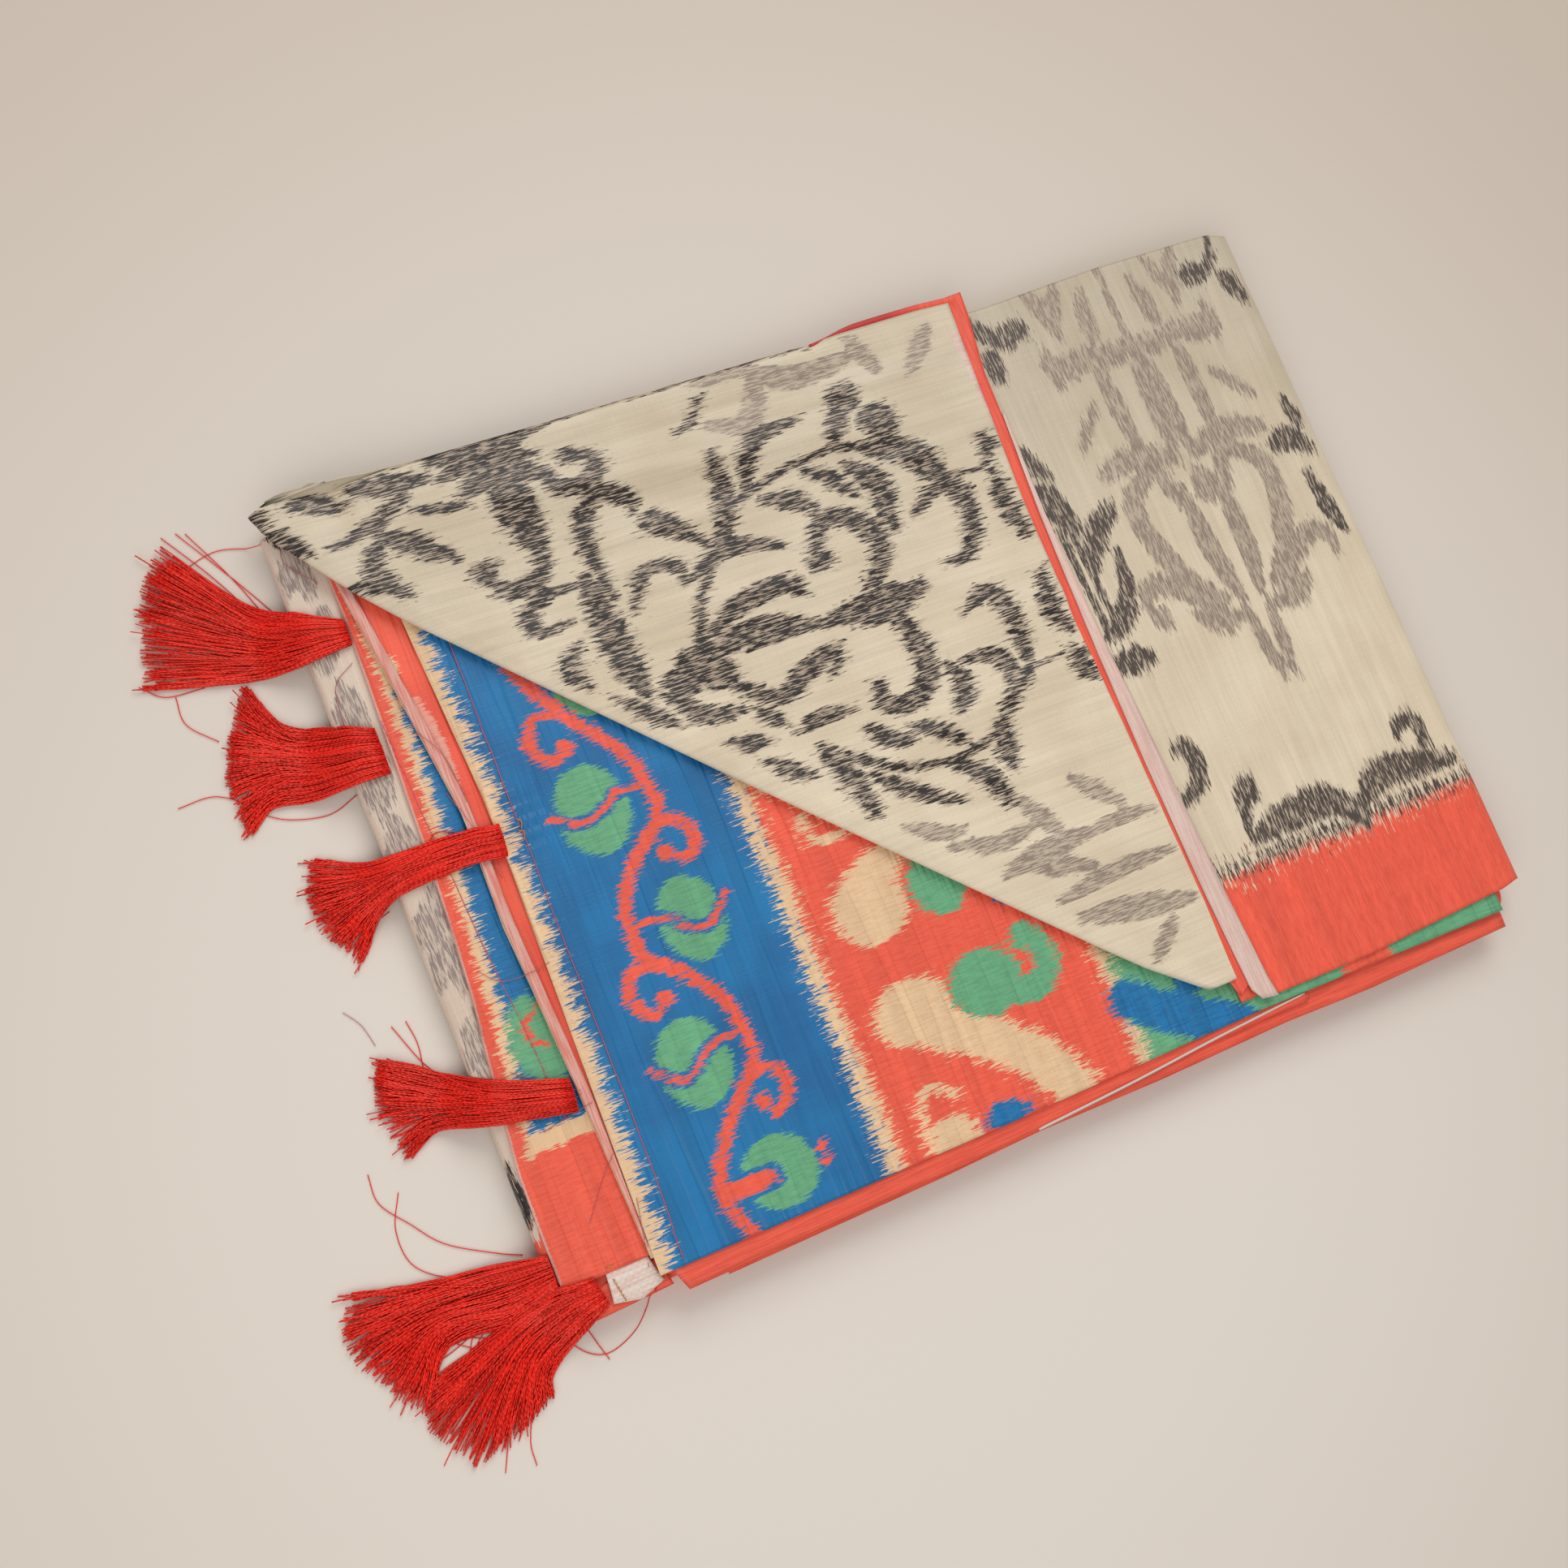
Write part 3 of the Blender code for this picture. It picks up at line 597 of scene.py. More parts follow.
class Nodes:
    """Short calls for making a material's nodes and joining them."""

    def __init__(self, material):
        self.tree = material.node_tree
        self.shader = self.tree.nodes["Principled BSDF"]

    def put(self, node, inputs):
        """Joins a node's inputs to other nodes' outputs, or sets them to constants."""
        for name, value in inputs.items():
            if isinstance(value, bpy.types.NodeSocket):
                self.tree.links.new(value, node.inputs[name])
            else:
                node.inputs[name].default_value = value

    def add(self, kind, output, inputs, **settings):
        """Adds a node and gives one of its outputs."""
        node = self.tree.nodes.new(kind)
        for name, value in settings.items():
            setattr(node, name, value)
        self.put(node, inputs)
        return node.outputs[output]

    def show(self, colour, **more):
        """What the shader shows: its colour, and where given its normal."""
        self.put(self.shader, {"Base Color": colour, **more})

    def math(self, operation, first, second=0.0):
        return self.add("ShaderNodeMath", 0, {0: first, 1: second}, operation=operation)

    def plus(self, first, second):
        return self.math("ADD", first, second)

    def times(self, first, second):
        return self.math("MULTIPLY", first, second)

    def one_less(self, value):
        return self.math("SUBTRACT", 1.0, value)

    def attribute(self, name):
        return self.add("ShaderNodeAttribute", "Vector", {}, attribute_name=name)

    def parts(self, vector):
        """The x, y and z of a vector."""
        node = self.tree.nodes.new("ShaderNodeSeparateXYZ")
        self.put(node, {0: vector})
        return node.outputs

    def scaled(self, vector, scale):
        return self.add("ShaderNodeVectorMath", 0, {0: vector, 1: scale}, operation="MULTIPLY")

    def place(self, scale=PER_METRE):
        """The place on the object, in millimetres or at another scale."""
        return self.scaled(self.add("ShaderNodeTexCoord", "Object", {}), (scale, scale, scale))

    def noise(self, vector, scale=1.0, detail=2.0, roughness=0.5):
        inputs = {"Vector": vector, "Scale": scale, "Detail": detail, "Roughness": roughness}
        return self.add("ShaderNodeTexNoise", "Fac", inputs)

    def streaks(self, flat, thread, length, width, detail=1.0):
        """Noise drawn out along the thread, from 0 to 1."""
        scale = (1 / length, 1 / width, 1) if thread == "x" else (1 / width, 1 / length, 1)
        return self.noise(self.scaled(flat, scale), detail=detail, roughness=0.55)

    def swing(self, value, size):
        """A 0 to 1 value turned into one from minus half the size to plus half of it."""
        return self.times(self.math("SUBTRACT", value, 0.5), size)

    def ramp(self, value, low, high):
        """0 below low and 1 above high, smooth between."""
        inputs = {"Value": value, "From Min": low, "From Max": high}
        return self.add("ShaderNodeMapRange", "Result", inputs, interpolation_type="SMOOTHSTEP")

    def mix(self, share, first, second, strength=1.0, blend="MIX"):
        """A colour that goes from the first to the second with the share."""
        if strength != 1.0:
            share = self.times(share, strength)
        inputs = {0: share, 6: first, 7: second}
        return self.add("ShaderNodeMix", 2, inputs, data_type="RGBA", blend_type=blend)

    def multiply(self, colour, factor):
        grey = self.add("ShaderNodeCombineColor", 0, dict.fromkeys(range(3), factor))
        return self.mix(1.0, colour, grey, blend="MULTIPLY")

    def bump(self, height, strength, distance, **before):
        """A normal from a height, and where given from the normal before it."""
        inputs = {"Height": height, "Strength": strength, "Distance": distance, **before}
        return self.add("ShaderNodeBump", "Normal", inputs)


def new_material(name, roughness, sheen=0.0):
    material = bpy.data.materials.new(name)
    material.use_nodes = True
    nodes = Nodes(material)
    nodes.put(nodes.shader, {"Roughness": roughness, "Sheen Weight": sheen, "Sheen Roughness": 0.4})
    return material, nodes


CREASE_LENGTH = 120.0   # mm
CREASE_FADE = 8.0       # over how much of the cloth the creases end, mm each way


def finish_cloth(nodes, colour, flat, thread, crease_spacing=0.0, creased_below=FAR):
    """The slubs and the weave that all the cloth shares, and creases up to a place, also in painted light
    and shade.
    """
    slub = nodes.streaks(flat, thread, length=26.0, width=0.75)
    cross = nodes.streaks(flat, "y" if thread == "x" else "x", length=14.0, width=0.8)
    bands = nodes.streaks(flat, thread, length=110.0, width=3.0)
    grain = nodes.noise(nodes.scaled(flat, (1.6, 1.6, 1)), roughness=0.7)
    share = 0.4 if crease_spacing and creased_below == FAR else 1.0
    tone = 1.0
    for streak, change in ((slub, 0.22 * share), (cross, 0.09), (bands, 0.22 * share), (grain, 0.2)):
        tone = nodes.plus(tone, nodes.swing(streak, change))
    normal = nodes.bump(slub, strength=0.25, distance=0.0003)
    normal = nodes.bump(cross, strength=0.2, distance=0.0002, Normal=normal)
    if crease_spacing:
        runs = nodes.streaks(flat, "y", CREASE_LENGTH, crease_spacing, detail=2.0)
        above = nodes.ramp(nodes.parts(flat)[1], creased_below - CREASE_FADE, creased_below + CREASE_FADE)
        runs = nodes.times(nodes.swing(runs, 2.0), nodes.one_less(above))
        valley = nodes.ramp(nodes.math("ABSOLUTE", runs), 0.0, 0.25)
        normal = nodes.bump(valley, strength=0.45, distance=0.0009, Normal=normal)
        # painted light and shade: the crease runs also lighten and darken the colour
        tone = nodes.plus(tone, nodes.times(runs, 0.25))
    nodes.show(nodes.multiply(colour, tone), Normal=normal)


# One printed colour: which stored field it follows, its tones, how far its edge frays along the
# thread in mm, how solid it can get, and how much of a pale wash lies under it.
Paint = namedtuple("Paint", "field tones teeth solid wash", defaults=(2.2, 9.0, 0.0))
LEAST_FRAY = 0.55       # how far an edge frays that runs along the thread, mm
PAINTED_SHADE_FROM = -40.0  # between these two heights a painted shade may darken the cloth's ground towards the top, mm
PAINTED_SHADE_TO = 150.0


def ikat_material(
    name, ground, paints, thread="x", crease_spacing=0.0, creased_below=FAR, painted_top_shade=0.0,
):
    """Cloth printed in fields whose edges fray along the threads, as a resist dye leaves them.

    The painted top shade is how much of its lightness the ground loses from low on the cloth to its top, as
    painted shade.
    """
    material, nodes = new_material(name, 0.46, 0.06)
    flat = nodes.attribute("flat")
    fine = nodes.streaks(flat, thread, length=5.0, width=0.5, detail=2.0)
    broad = nodes.streaks(flat, thread, length=8.0, width=1.1)
    offset = nodes.plus(nodes.swing(fine, 6.0), nodes.swing(broad, 2.6))
    inner = nodes.ramp(nodes.streaks(flat, thread, length=6.0, width=0.8, detail=2.0), 0.42, 0.62)
    clouds = nodes.ramp(nodes.noise(flat, scale=0.03), 0.35, 0.68)
    colour = nodes.mix(clouds, *ground, strength=0.5)
    # painted shade: the ground is darkened towards the top of the cloth
    if painted_top_shade:
        up = nodes.ramp(nodes.parts(flat)[1], PAINTED_SHADE_FROM, PAINTED_SHADE_TO)
        colour = nodes.multiply(colour, nodes.one_less(nodes.times(up, painted_top_shade)))
    for paint in paints:
        group, part = divmod(paint.field, 3)
        value = nodes.parts(nodes.attribute(f"print_{group}"))[part]
        slope = nodes.parts(nodes.attribute(f"slope_{group}"))[part]
        share = nodes.math("DIVIDE", value, nodes.plus(LEAST_FRAY, nodes.times(slope, paint.teeth)))
        mask = nodes.ramp(nodes.plus(nodes.math("MINIMUM", share, paint.solid), offset), -0.3, 0.3)
        if paint.wash:
            under = nodes.ramp(nodes.plus(share, nodes.swing(broad, 4.0)), -1.0, 0.4)
            colour = nodes.mix(under, colour, paint.tones[1], strength=paint.wash)
            colour = nodes.mix(mask, colour, paint.tones[0])
        else:
            colour = nodes.mix(mask, colour, nodes.mix(inner, *paint.tones, strength=0.4))
    finish_cloth(nodes, colour, flat, thread, crease_spacing, creased_below)
    return material


def streaked_material(name, cloth, thread, strength=0.6, checks=0.0, painted_shade_above=0.0):
    """Cloth of one colour with uneven threads, and where asked for a faint check or a painted shade over
    its upper end.
    """
    material, nodes = new_material(name, 0.5, 0.06)
    place = nodes.place()
    spots = nodes.parts(place)
    threads = nodes.ramp(nodes.streaks(place, thread, length=14.0, width=0.7, detail=2.0), 0.36, 0.66)
    mixed = nodes.mix(threads, *cloth, strength=strength)
    if checks:
        rows = [nodes.math("SINE", nodes.times(spots[axis], 2 * math.pi / checks)) for axis in (0, 1)]
        mixed = nodes.multiply(mixed, nodes.plus(0.97, nodes.times(nodes.times(*rows), 0.06)))
    # painted shade: a darker red above a height, left of x = 44 and fading out by x = 68
    if painted_shade_above:
        upper = nodes.ramp(spots[1], painted_shade_above, painted_shade_above + 2)
        lefthand = nodes.one_less(nodes.ramp(spots[0], 44, 68))
        mixed = nodes.mix(nodes.times(upper, lefthand), mixed, HEM_PAINTED_SHADE)
    finish_cloth(nodes, mixed, place, thread)
    return material


def silk_material():
    """Twisted red silk thread: painted highlights on the turns along each thread."""
    material, nodes = new_material("tassel_silk", 0.28)
    run, tone, turn = nodes.parts(nodes.attribute("thread"))
    turns = nodes.math("SINE", nodes.plus(nodes.times(run, 3.6), turn))
    tint = nodes.mix(tone, SILK_DEEP, SILK)
    # painted highlight: the glints of the twist are painted in a lighter red
    colour = nodes.mix(nodes.ramp(turns, 0.0, 1.0), tint, SILK_PAINTED_GLINT, strength=0.6)
    nodes.show(colour, Normal=nodes.bump(turns, strength=0.25, distance=0.0002))
    nodes.put(nodes.shader, {"Specular IOR Level": 0.9, "Specular Tint": SILK_SHEEN})
    return material


# The layers of cloth

def crinkles(x, y, seed, spacing, height):
    """Low uneven ridges that run up the cloth."""
    place = x + wave_noise(y, seed + 1, 60.0, 2)
    ridge = np.abs(wave_noise(place, seed, spacing, 2))
    return height * (0.5 - ridge) * (0.6 + 0.4 * wave_noise(y, seed + 2, 80.0, 1))


def scallops(y, depth, spacing, seed, noise_spacing):
    """How far a frayed edge waves in and out along the cloth."""
    return depth * np.abs(np.sin(np.pi * y / spacing)) + 0.8 * wave_noise(y, seed, noise_spacing)


TOP_LENGTH = 349.0      # the top layer's length, mm
FINE_UNTIL = 0.75       # the share of it that shows, where the points are finely spaced
PUCKER_X = -149.0       # where the knot draws the top layer together
PUCKER_Y = 10.0


def make_pallu_top():
    material = ikat_material(
        "pallu_print", BLUE,
        [
            Paint(2, GREEN, 1.2), Paint(4, BLUE, 1.2), Paint(0, CORAL, 1.4), Paint(1, PEACH, 3.0),
            Paint(5, GREEN, 2.2), Paint(3, BLUE, 2.4),
        ],
        crease_spacing=7.0,
    )
    fine = np.arange(0, FINE_UNTIL, FINE / TOP_LENGTH)
    x_shares = np.concatenate([fine, np.linspace(FINE_UNTIL, 1, 14)])

    def relief(x, y):
        near_edge = smoothstep((x + 163) / 8)
        away = (x - PUCKER_X) ** 2 + (y - PUCKER_Y) ** 2
        pucker = np.sin(1.3 * (y - PUCKER_Y)) * np.exp(-away / 55)
        return crinkles(x, y, 21, 8.0, 0.55) * near_edge + 0.5 * pucker - 0.25

    grid, flat = layer_grid("pallu_top", x_shares, np.linspace(0, 1, 190), relief)
    inward = inward_from(grid)

    def cream(x, y):
        return np.maximum(3.1 + scallops(y, 2.6, 10.2, 3, 4) - inward(x, y), pallu_cream(x, y))

    plain = [printed(shapes) for shapes in (BLUE_SPOTS, VINE_SLITS, GREEN_SCROLLS)]
    fields = (pallu_red, cream, pallu_green, *plain)
    piece = printed_cloth("pallu_top", grid, flat, material, fields)


# The second and third layers have fine points only near their left edges, which show.
UNDER_LENGTH = 380.0    # about how long they are, mm
UNDER_SHARES = np.concatenate([np.arange(0, 0.13, FINE / UNDER_LENGTH), np.linspace(0.14, 1, 16)])


def low_ripple(x, y):
    return crinkles(x, y, 31, 6.0, 0.35) - 0.15


def make_pallu_third():
    material = ikat_material(
        "third_print", PEACH,
        [
            Paint(1, BLUE, 2.0), Paint(2, GREEN), Paint(3, CORAL, 1.0), Paint(0, CORAL, 1.7),
            Paint(4, SELVAGE, 0.0),
        ],
        crease_spacing=6.0,
    )
    grid, flat = layer_grid("pallu_third", UNDER_SHARES, np.linspace(0, 1, 170), low_ripple)
    inward = inward_from(grid)

    def red(x, y):
        foot = -93.0 - y + 1.5 * wave_noise(x, 12, 4)
        return np.maximum(4.6 - inward(x, y) + 0.9 * wave_noise(y, 11, 5), foot)

    def blue(x, y):
        edge = inward(x, y) - 7.4 - scallops(y, 1.8, 9.5, 13, 5)
        return np.minimum(edge, y + 86.0 + 1.6 * wave_noise(x, 14, 4))

    def selvage(x, y):
        return 4.0 * (0.8 - inward(x, y))

    leaf = printed(Print(dots=((-171.5, -59, 9.5, 16),)))
    curl = printed(Print(brushes=((2.6, -168, -48, -174, -52, -173, -58, -168, -62),)))
    fields = (red, blue, leaf, curl, selvage)
    piece = printed_cloth("pallu_third", grid, flat, material, fields)


def make_pallu_second():
    material = ikat_material(
        "second_print", CORAL,
        [Paint(1, WORN_CORAL, 0.3), Paint(0, PEACH, 0.6), Paint(2, PEACH, 0.5)],
        crease_spacing=5.0,
    )
    grid, flat = layer_grid("pallu_second", UNDER_SHARES, np.linspace(0, 1, 120), low_ripple)
    inward = inward_from(grid)

    def rim(x, y):
        return 1.9 - inward(x, y) + 0.7 * wave_noise(y, 16, 4)

    spot = printed(Print(dots=((-171.5, 76, 2.0, 4),)))
    worn = printed(Print(dots=((-168.5, 42, 4.5, 21),)))
    printed_cloth("pallu_second", grid, flat, material, (spot, worn, rim))


WRAP_LOW = -135.9
WRAP_HIGH = 132.9
WRAP_ROWS = 150
# The middles of the pale marks down the wrap's reverse, and its darker ones
REVERSE_MARKS = (118, 92, 66, 40, 18, -10, -24, -52)
DARK_MARKS = Print(dots=((-197, -104, 3.5, 11), (-190, 134, 4, 6)))


def reverse_print():
    """Pairs of strokes, the first of each pair leaning to either side in turn."""
    marks = []
    for number, middle in enumerate(REVERSE_MARKS):
        lean = 2 if number % 2 else -2
        marks.append((7, -188 + lean, middle + 10, -188, middle, -190 - lean, middle - 9))
        marks.append((5, -195, middle - 6, -192, middle + 1, -190, middle + 6))
    return Print(brushes=marks)


def wrap_red(x, y):
    return -117.0 - y + wave_noise(x, 55, 4)


def make_wrap():
    """The lowest fold: its leaf and its rounded edge, whose places run on round the fold."""
    low, high = node_box("lower_wrap")
    profile = []
    for height in np.linspace(low[2] + 0.1, high[2] - 0.25, 12):
        profile.append((hit("lower_wrap", (-FAR, 0, height), (1, 0, 0))[0], height))
    for x in np.concatenate([np.linspace(profile[-1][0] + 1.2, -172, 14), np.linspace(-166, -122, 5)]):
        profile.append((x, high[2]))
    profile = np.array(profile)
    run = run_along(profile)
    y_places = np.linspace(WRAP_LOW, WRAP_HIGH, WRAP_ROWS)
    x, z = (np.repeat(profile[None, :, axis], WRAP_ROWS, axis=0) for axis in (0, 1))
    y = np.repeat(y_places[:, None], len(profile), axis=1)
    x += 0.5 * wave_noise(y_places, 51, 45)[:, None] * (x < -192)
    z -= 0.2 * (1 + wave_noise(y_places, 52, 30))[:, None] * (z > high[2] - 0.5)
    flat_x = np.broadcast_to(profile[-1, 0] - (run[-1] - run), x.shape)
    material = ikat_material(
        "wrap_print", REVERSE,
        [Paint(0, REVERSE_PRINT, 2.2, 0.0, 0.6), Paint(1, INK, 2.0, 0.6, 0.5), Paint(2, CORAL, 3.0)],
        thread="y",
    )
    fields = (printed(reverse_print()), printed(DARK_MARKS), wrap_red)
    grid = np.dstack([x, y, z])
    printed_cloth("lower_wrap", grid, np.dstack([flat_x, y]), material, fields, "y")


LEAF_FROM = 69.0        # where the leaf's cloth starts under the flap's hem, mm
LEAF_ROWS = 188
BORDER_TOP = -94.0      # the red border's upper edge on the leaf
FLECKS_LOW = -101.0     # the flecks along the border lie between these
FLECKS_HIGH = -86.0


def leaf_red(x, y):
    """The red border along the leaf's lower edge."""
    return BORDER_TOP - y + 1.6 * wave_noise(x, 5, 9.0)


def leaf_speckle(x, y):
    """Black flecks that run down into the red border."""
    return np.minimum(y - FLECKS_LOW, FLECKS_HIGH - y) - 5.5 + 2.6 * wave_noise(x, 66, 14)


def make_leaf():
    """The right-hand leaf, flat and then round its fold, under the turned flap at its left."""
    low, high = node_box("top_leaf")
    top_z = hit("top_leaf", (100, 0, 50), (0, 0, -1))[2]
    end_x = high[0]
    fold = []
    for height in np.linspace(top_z - 0.4, low[2] + 0.4, 14):
        fold.append((hit("top_leaf", (FAR, 0, height), (-1, 0, 0))[0], height))
    fold += [(end_x - 4.2, low[2] + 0.1), (end_x - 7.0, low[2])]
    start = [(x, top_z) for x in np.arange(LEAF_FROM, fold[0][0] - 1.5, FINE)]
    profile = np.array(start + fold)
    bottom, top = (edge_table("top_leaf", side, 90, (top_z - 0.5,)) for side in ("bottom", "top"))
    share = np.linspace(0, 1, LEAF_ROWS)[:, None]
    x, z = (np.repeat(profile[None, :, axis], LEAF_ROWS, axis=0) for axis in (0, 1))
    reach = np.clip(x, 80, end_x - 6)
    low_edge = read(bottom, reach)
    y = low_edge + (read(top, reach) - low_edge) * share
    y += 1.2 * smoothstep((x - 188) / 10) * (0.5 - share) * 2
    sag = crinkles(x, y, 61, 12.0, 0.4) + 0.3 * wave_noise(x + 0.4 * y, 62, 40) - 0.35
    sag += smoothstep((-84 - y) / 12) * crinkles(x, y, 63, 5.0, 0.7)
    grid = np.dstack([x, y, z + sag * (z > top_z - 0.3)])
    flat = np.dstack([np.broadcast_to(LEAF_FROM + run_along(profile), x.shape), y])
    material = ikat_material(
        "leaf_print", CREAM,
        [
            Paint(1, GREY_PRINT, 2.6, 0.05, 0.85), Paint(2, CORAL, 7.0),
            Paint(0, INK_WORN, 2.2, 0.35, 0.7), Paint(3, INK_WORN, 4.5, 0.05, 0.2),
        ],
        # painted shade: the ground loses up to 0.3 of its lightness towards the top
        thread="y", crease_spacing=10.0, creased_below=-92.0, painted_top_shade=0.3,
    )
    fields = (printed(LEAF_INK, 0.2), printed(LEAF_GREY), leaf_red, leaf_speckle)
    piece = printed_cloth("top_leaf", grid, flat, material, fields, "y")


ROLL_STEPS = 16
FLAP_ROWS = 188
FLAP_COLUMNS = 180
ROLL_DEPTH = 5.2 * math.sqrt(2)     # how far the roll's half circle reaches in along a row, mm
ROLL_MIDDLE = 2.15                  # the height of the roll's middle above its foot, mm
ROLL_RADIUS = 2.05
ROLL_DROP = 2.3                     # how far the roll's foot lies below the flat flap, mm
HEM_LAP = 1.8                       # how far the cream cloth lies over the red hem, mm
HEM_STRAIGHT_TO = 135.0             # above this y the hem's side runs on straight, mm
HEM_END = 144.0
# Where the flap's cream cloth ends under the red hem's top run
CREAM_TOP = np.array([(12, 141.2), (28, 142.0), (46, 142.2), (60, 142.2), (74, 141.5)])
TIP_BULGE = 3.4                     # how far the flap's tip swells above a straight edge, mm
TIP_DROOP = 3.0                     # how far the tip hangs past the stack's corner, mm
TIP_X = -172.0                      # the tip starts to hang left of this x and above this y
TIP_Y = 112.0
TIP_REACH = 27.0
# The pale strip beside the hem's top: the y where its width would be nothing, its upper end, and
# how fast it widens between them
TURNING_FROM = 88.0
TURNING_TO = 130.0
TURNING_GROWTH = 0.09


def flap_edges(low, high, flat_z):
    """The flap's folded, hemmed and upper edges, as tables of places."""
    heights = np.linspace(low[2] + 0.15, high[2] - 0.15, 12)
    left = edge_table("turned_flap", "left", 220, heights)
    right = edge_table("turned_flap", "right", 90, (flat_z - 0.5,))
    top = edge_table("turned_flap", "top", 120, heights)
    right = right[right[:, 0] < HEM_STRAIGHT_TO]
    last = right[-1]
    lean = (last[1] - right[-12, 1]) / (last[0] - right[-12, 0])
    right = np.vstack([right, [(HEM_END, last[1] + lean * (HEM_END - last[0]))]])
    right[:, 1] += HEM_LAP
    return left, right, np.vstack([top[top[:, 0] < 10], CREAM_TOP])


def make_flap():
    """The turned corner: each row runs from under the roll, round it and across to the hem."""
    flat_z = hit("turned_flap", (50, 60, 50), (0, 0, -1))[2]
    left, right, top = flap_edges(*node_box("turned_flap"), flat_z)
    start = max(left[0, 0], right[0, 0]) + 0.4
    end = left[-1, 0]
    angle = -math.pi / 2 + math.pi * np.linspace(0, 1, ROLL_STEPS)
    shares = np.linspace(0, 1, FLAP_COLUMNS + 1)[1:]
    rows = []
    for y in np.linspace(start, end, FLAP_ROWS):
        fold_x = read(left, y)
        hem_x = read(right, y)
        fit = min(1.0, max(hem_x - fold_x, 1.0) / 42.0)
        droop = TIP_DROOP * smoothstep((y - TIP_Y) / TIP_REACH) * smoothstep((TIP_X - fold_x) / TIP_REACH)
        roll_x = fold_x + ROLL_DEPTH * fit * (1 - np.cos(angle))
        roll_z = flat_z - ROLL_DROP + ROLL_MIDDLE + ROLL_RADIUS * np.sin(angle)
        spread_x = roll_x[-1] + (hem_x - roll_x[-1]) * shares
        inward = (spread_x - fold_x) / math.sqrt(2)
        settle = smoothstep((inward - 3.0) / (24.0 * fit + 0.01))
        drooping = droop * (1 - smoothstep((spread_x - TIP_X) / 10))
        spread_z = roll_z[-1] * (1 - settle) + flat_z * settle - drooping
        round_roll = run_along(np.column_stack([roll_x, roll_z])[::-1])
        row_x = np.concatenate([roll_x, spread_x])
        share = smoothstep((y - 100) / (end - 100))
        swell = TIP_BULGE * np.sin(math.pi * np.clip((row_x + 199) / 29, 0, 1))
        row_y = y + (read(top, row_x) + swell - end) * share
        flat_x = np.concatenate([roll_x[-1] - round_roll[::-1], spread_x])
        rows.append((row_x, row_y, np.concatenate([roll_z - droop, spread_z]), flat_x))
    x, y, z, flat_x = np.array(rows).transpose(1, 0, 2)
    body = smoothstep((x - read(left, np.clip(y, start, end)) - 6) / 20)
    body[:, :ROLL_STEPS] = 0.0
    z = z + body * flap_creases(x, y)
    z = z - body * 0.8 * smoothstep((y - read(top, x) + 3.0) / 3.0) * (x < 20)

    def turning(x, y):
        width = TURNING_GROWTH * (y - TURNING_FROM)
        return 4.0 * np.minimum(width - read(right, y) + x, TURNING_TO - y)

    material = ikat_material(
        "flap_print", CREAM,
        [Paint(1, GREY_PRINT, 1.9, 0.0, 0.7), Paint(0, INK, 3.2, 0.2, 0.7), Paint(2, PINK, 0.0)],
        # painted shade: the ground loses up to 0.16 of its lightness towards the top
        painted_top_shade=0.16,
    )
    grid = np.dstack([x, y, z])
    fields = (printed(FLAP_INK, 0.9), printed(FLAP_GREY), turning)
    printed_cloth("turned_flap", grid, np.dstack([flat_x, y]), material, fields)


Crease = namedtuple("Crease", "x y to_x to_y height spread")
FLAP_CREASES = [
    Crease(*row) for row in (
        (-150, 122, 20, 108, 0.7, 6.0), (-110, 118, 30, 103, 1.1, 7.0), (-20, -12, 55, -2, 0.9, 6.0),
        (-60, 60, -10, 58, 0.6, 8.0), (5, -60, 60, -70, 0.8, 7.0), (10, 88, 66, 92, 0.4, 3.0),
        (-40, 124, 60, 120, 0.45, 3.5), (-5, -30, 62, -36, 0.5, 4.0), (20, 20, 66, 24, 0.45, 5.0),
        (-90, 96, -30, 90, 0.5, 4.5), (-60, 128, 40, 127, -0.5, 5.0), (30, -100, 66, -108, 0.4, 4.0),
    )
]


def flap_creases(x, y):
    total = 0.2 * wave_noise(y + 0.15 * x, 71, 9.0, 2) + 0.3 * wave_noise(y - 0.3 * x, 72, 40.0, 2)
    for crease in FLAP_CREASES:
        ends = np.array([(crease.x, crease.y), (crease.to_x, crease.to_y)], float)
        distance, share = away_from_line(x, y, *ends)
        fade = np.sin(np.pi * np.clip(0.15 + 0.7 * share, 0, 1))
        total = total + crease.height * fade * np.exp(-((distance / crease.spread) ** 2))
    return 1.6 * total


# Ribbons: the hems, borders and small pieces, within the outlines of their solids

def ribbon_cloth(node, material, counts, tucked=0.0):
    """A narrow shell on a strip's solid, with a faint ripple and perhaps its upper edge tucked under."""
    y_shares = np.linspace(0, 1, counts[1])
    places = filled_outline(node, np.linspace(0, 1, counts[0]), y_shares)
    ripple = 0.14 * wave_noise(places[:, :, 0] + places[:, :, 1], len(node), 12) - 0.15
    near_top = y_shares[:, None] ** 3
    places[:, :, 1] += tucked * near_top
    height = node_box(node)[1][2] + ripple - 0.6 * near_top * (tucked > 0)
    piece = cloth_shell(node, np.dstack([places, height]), material)


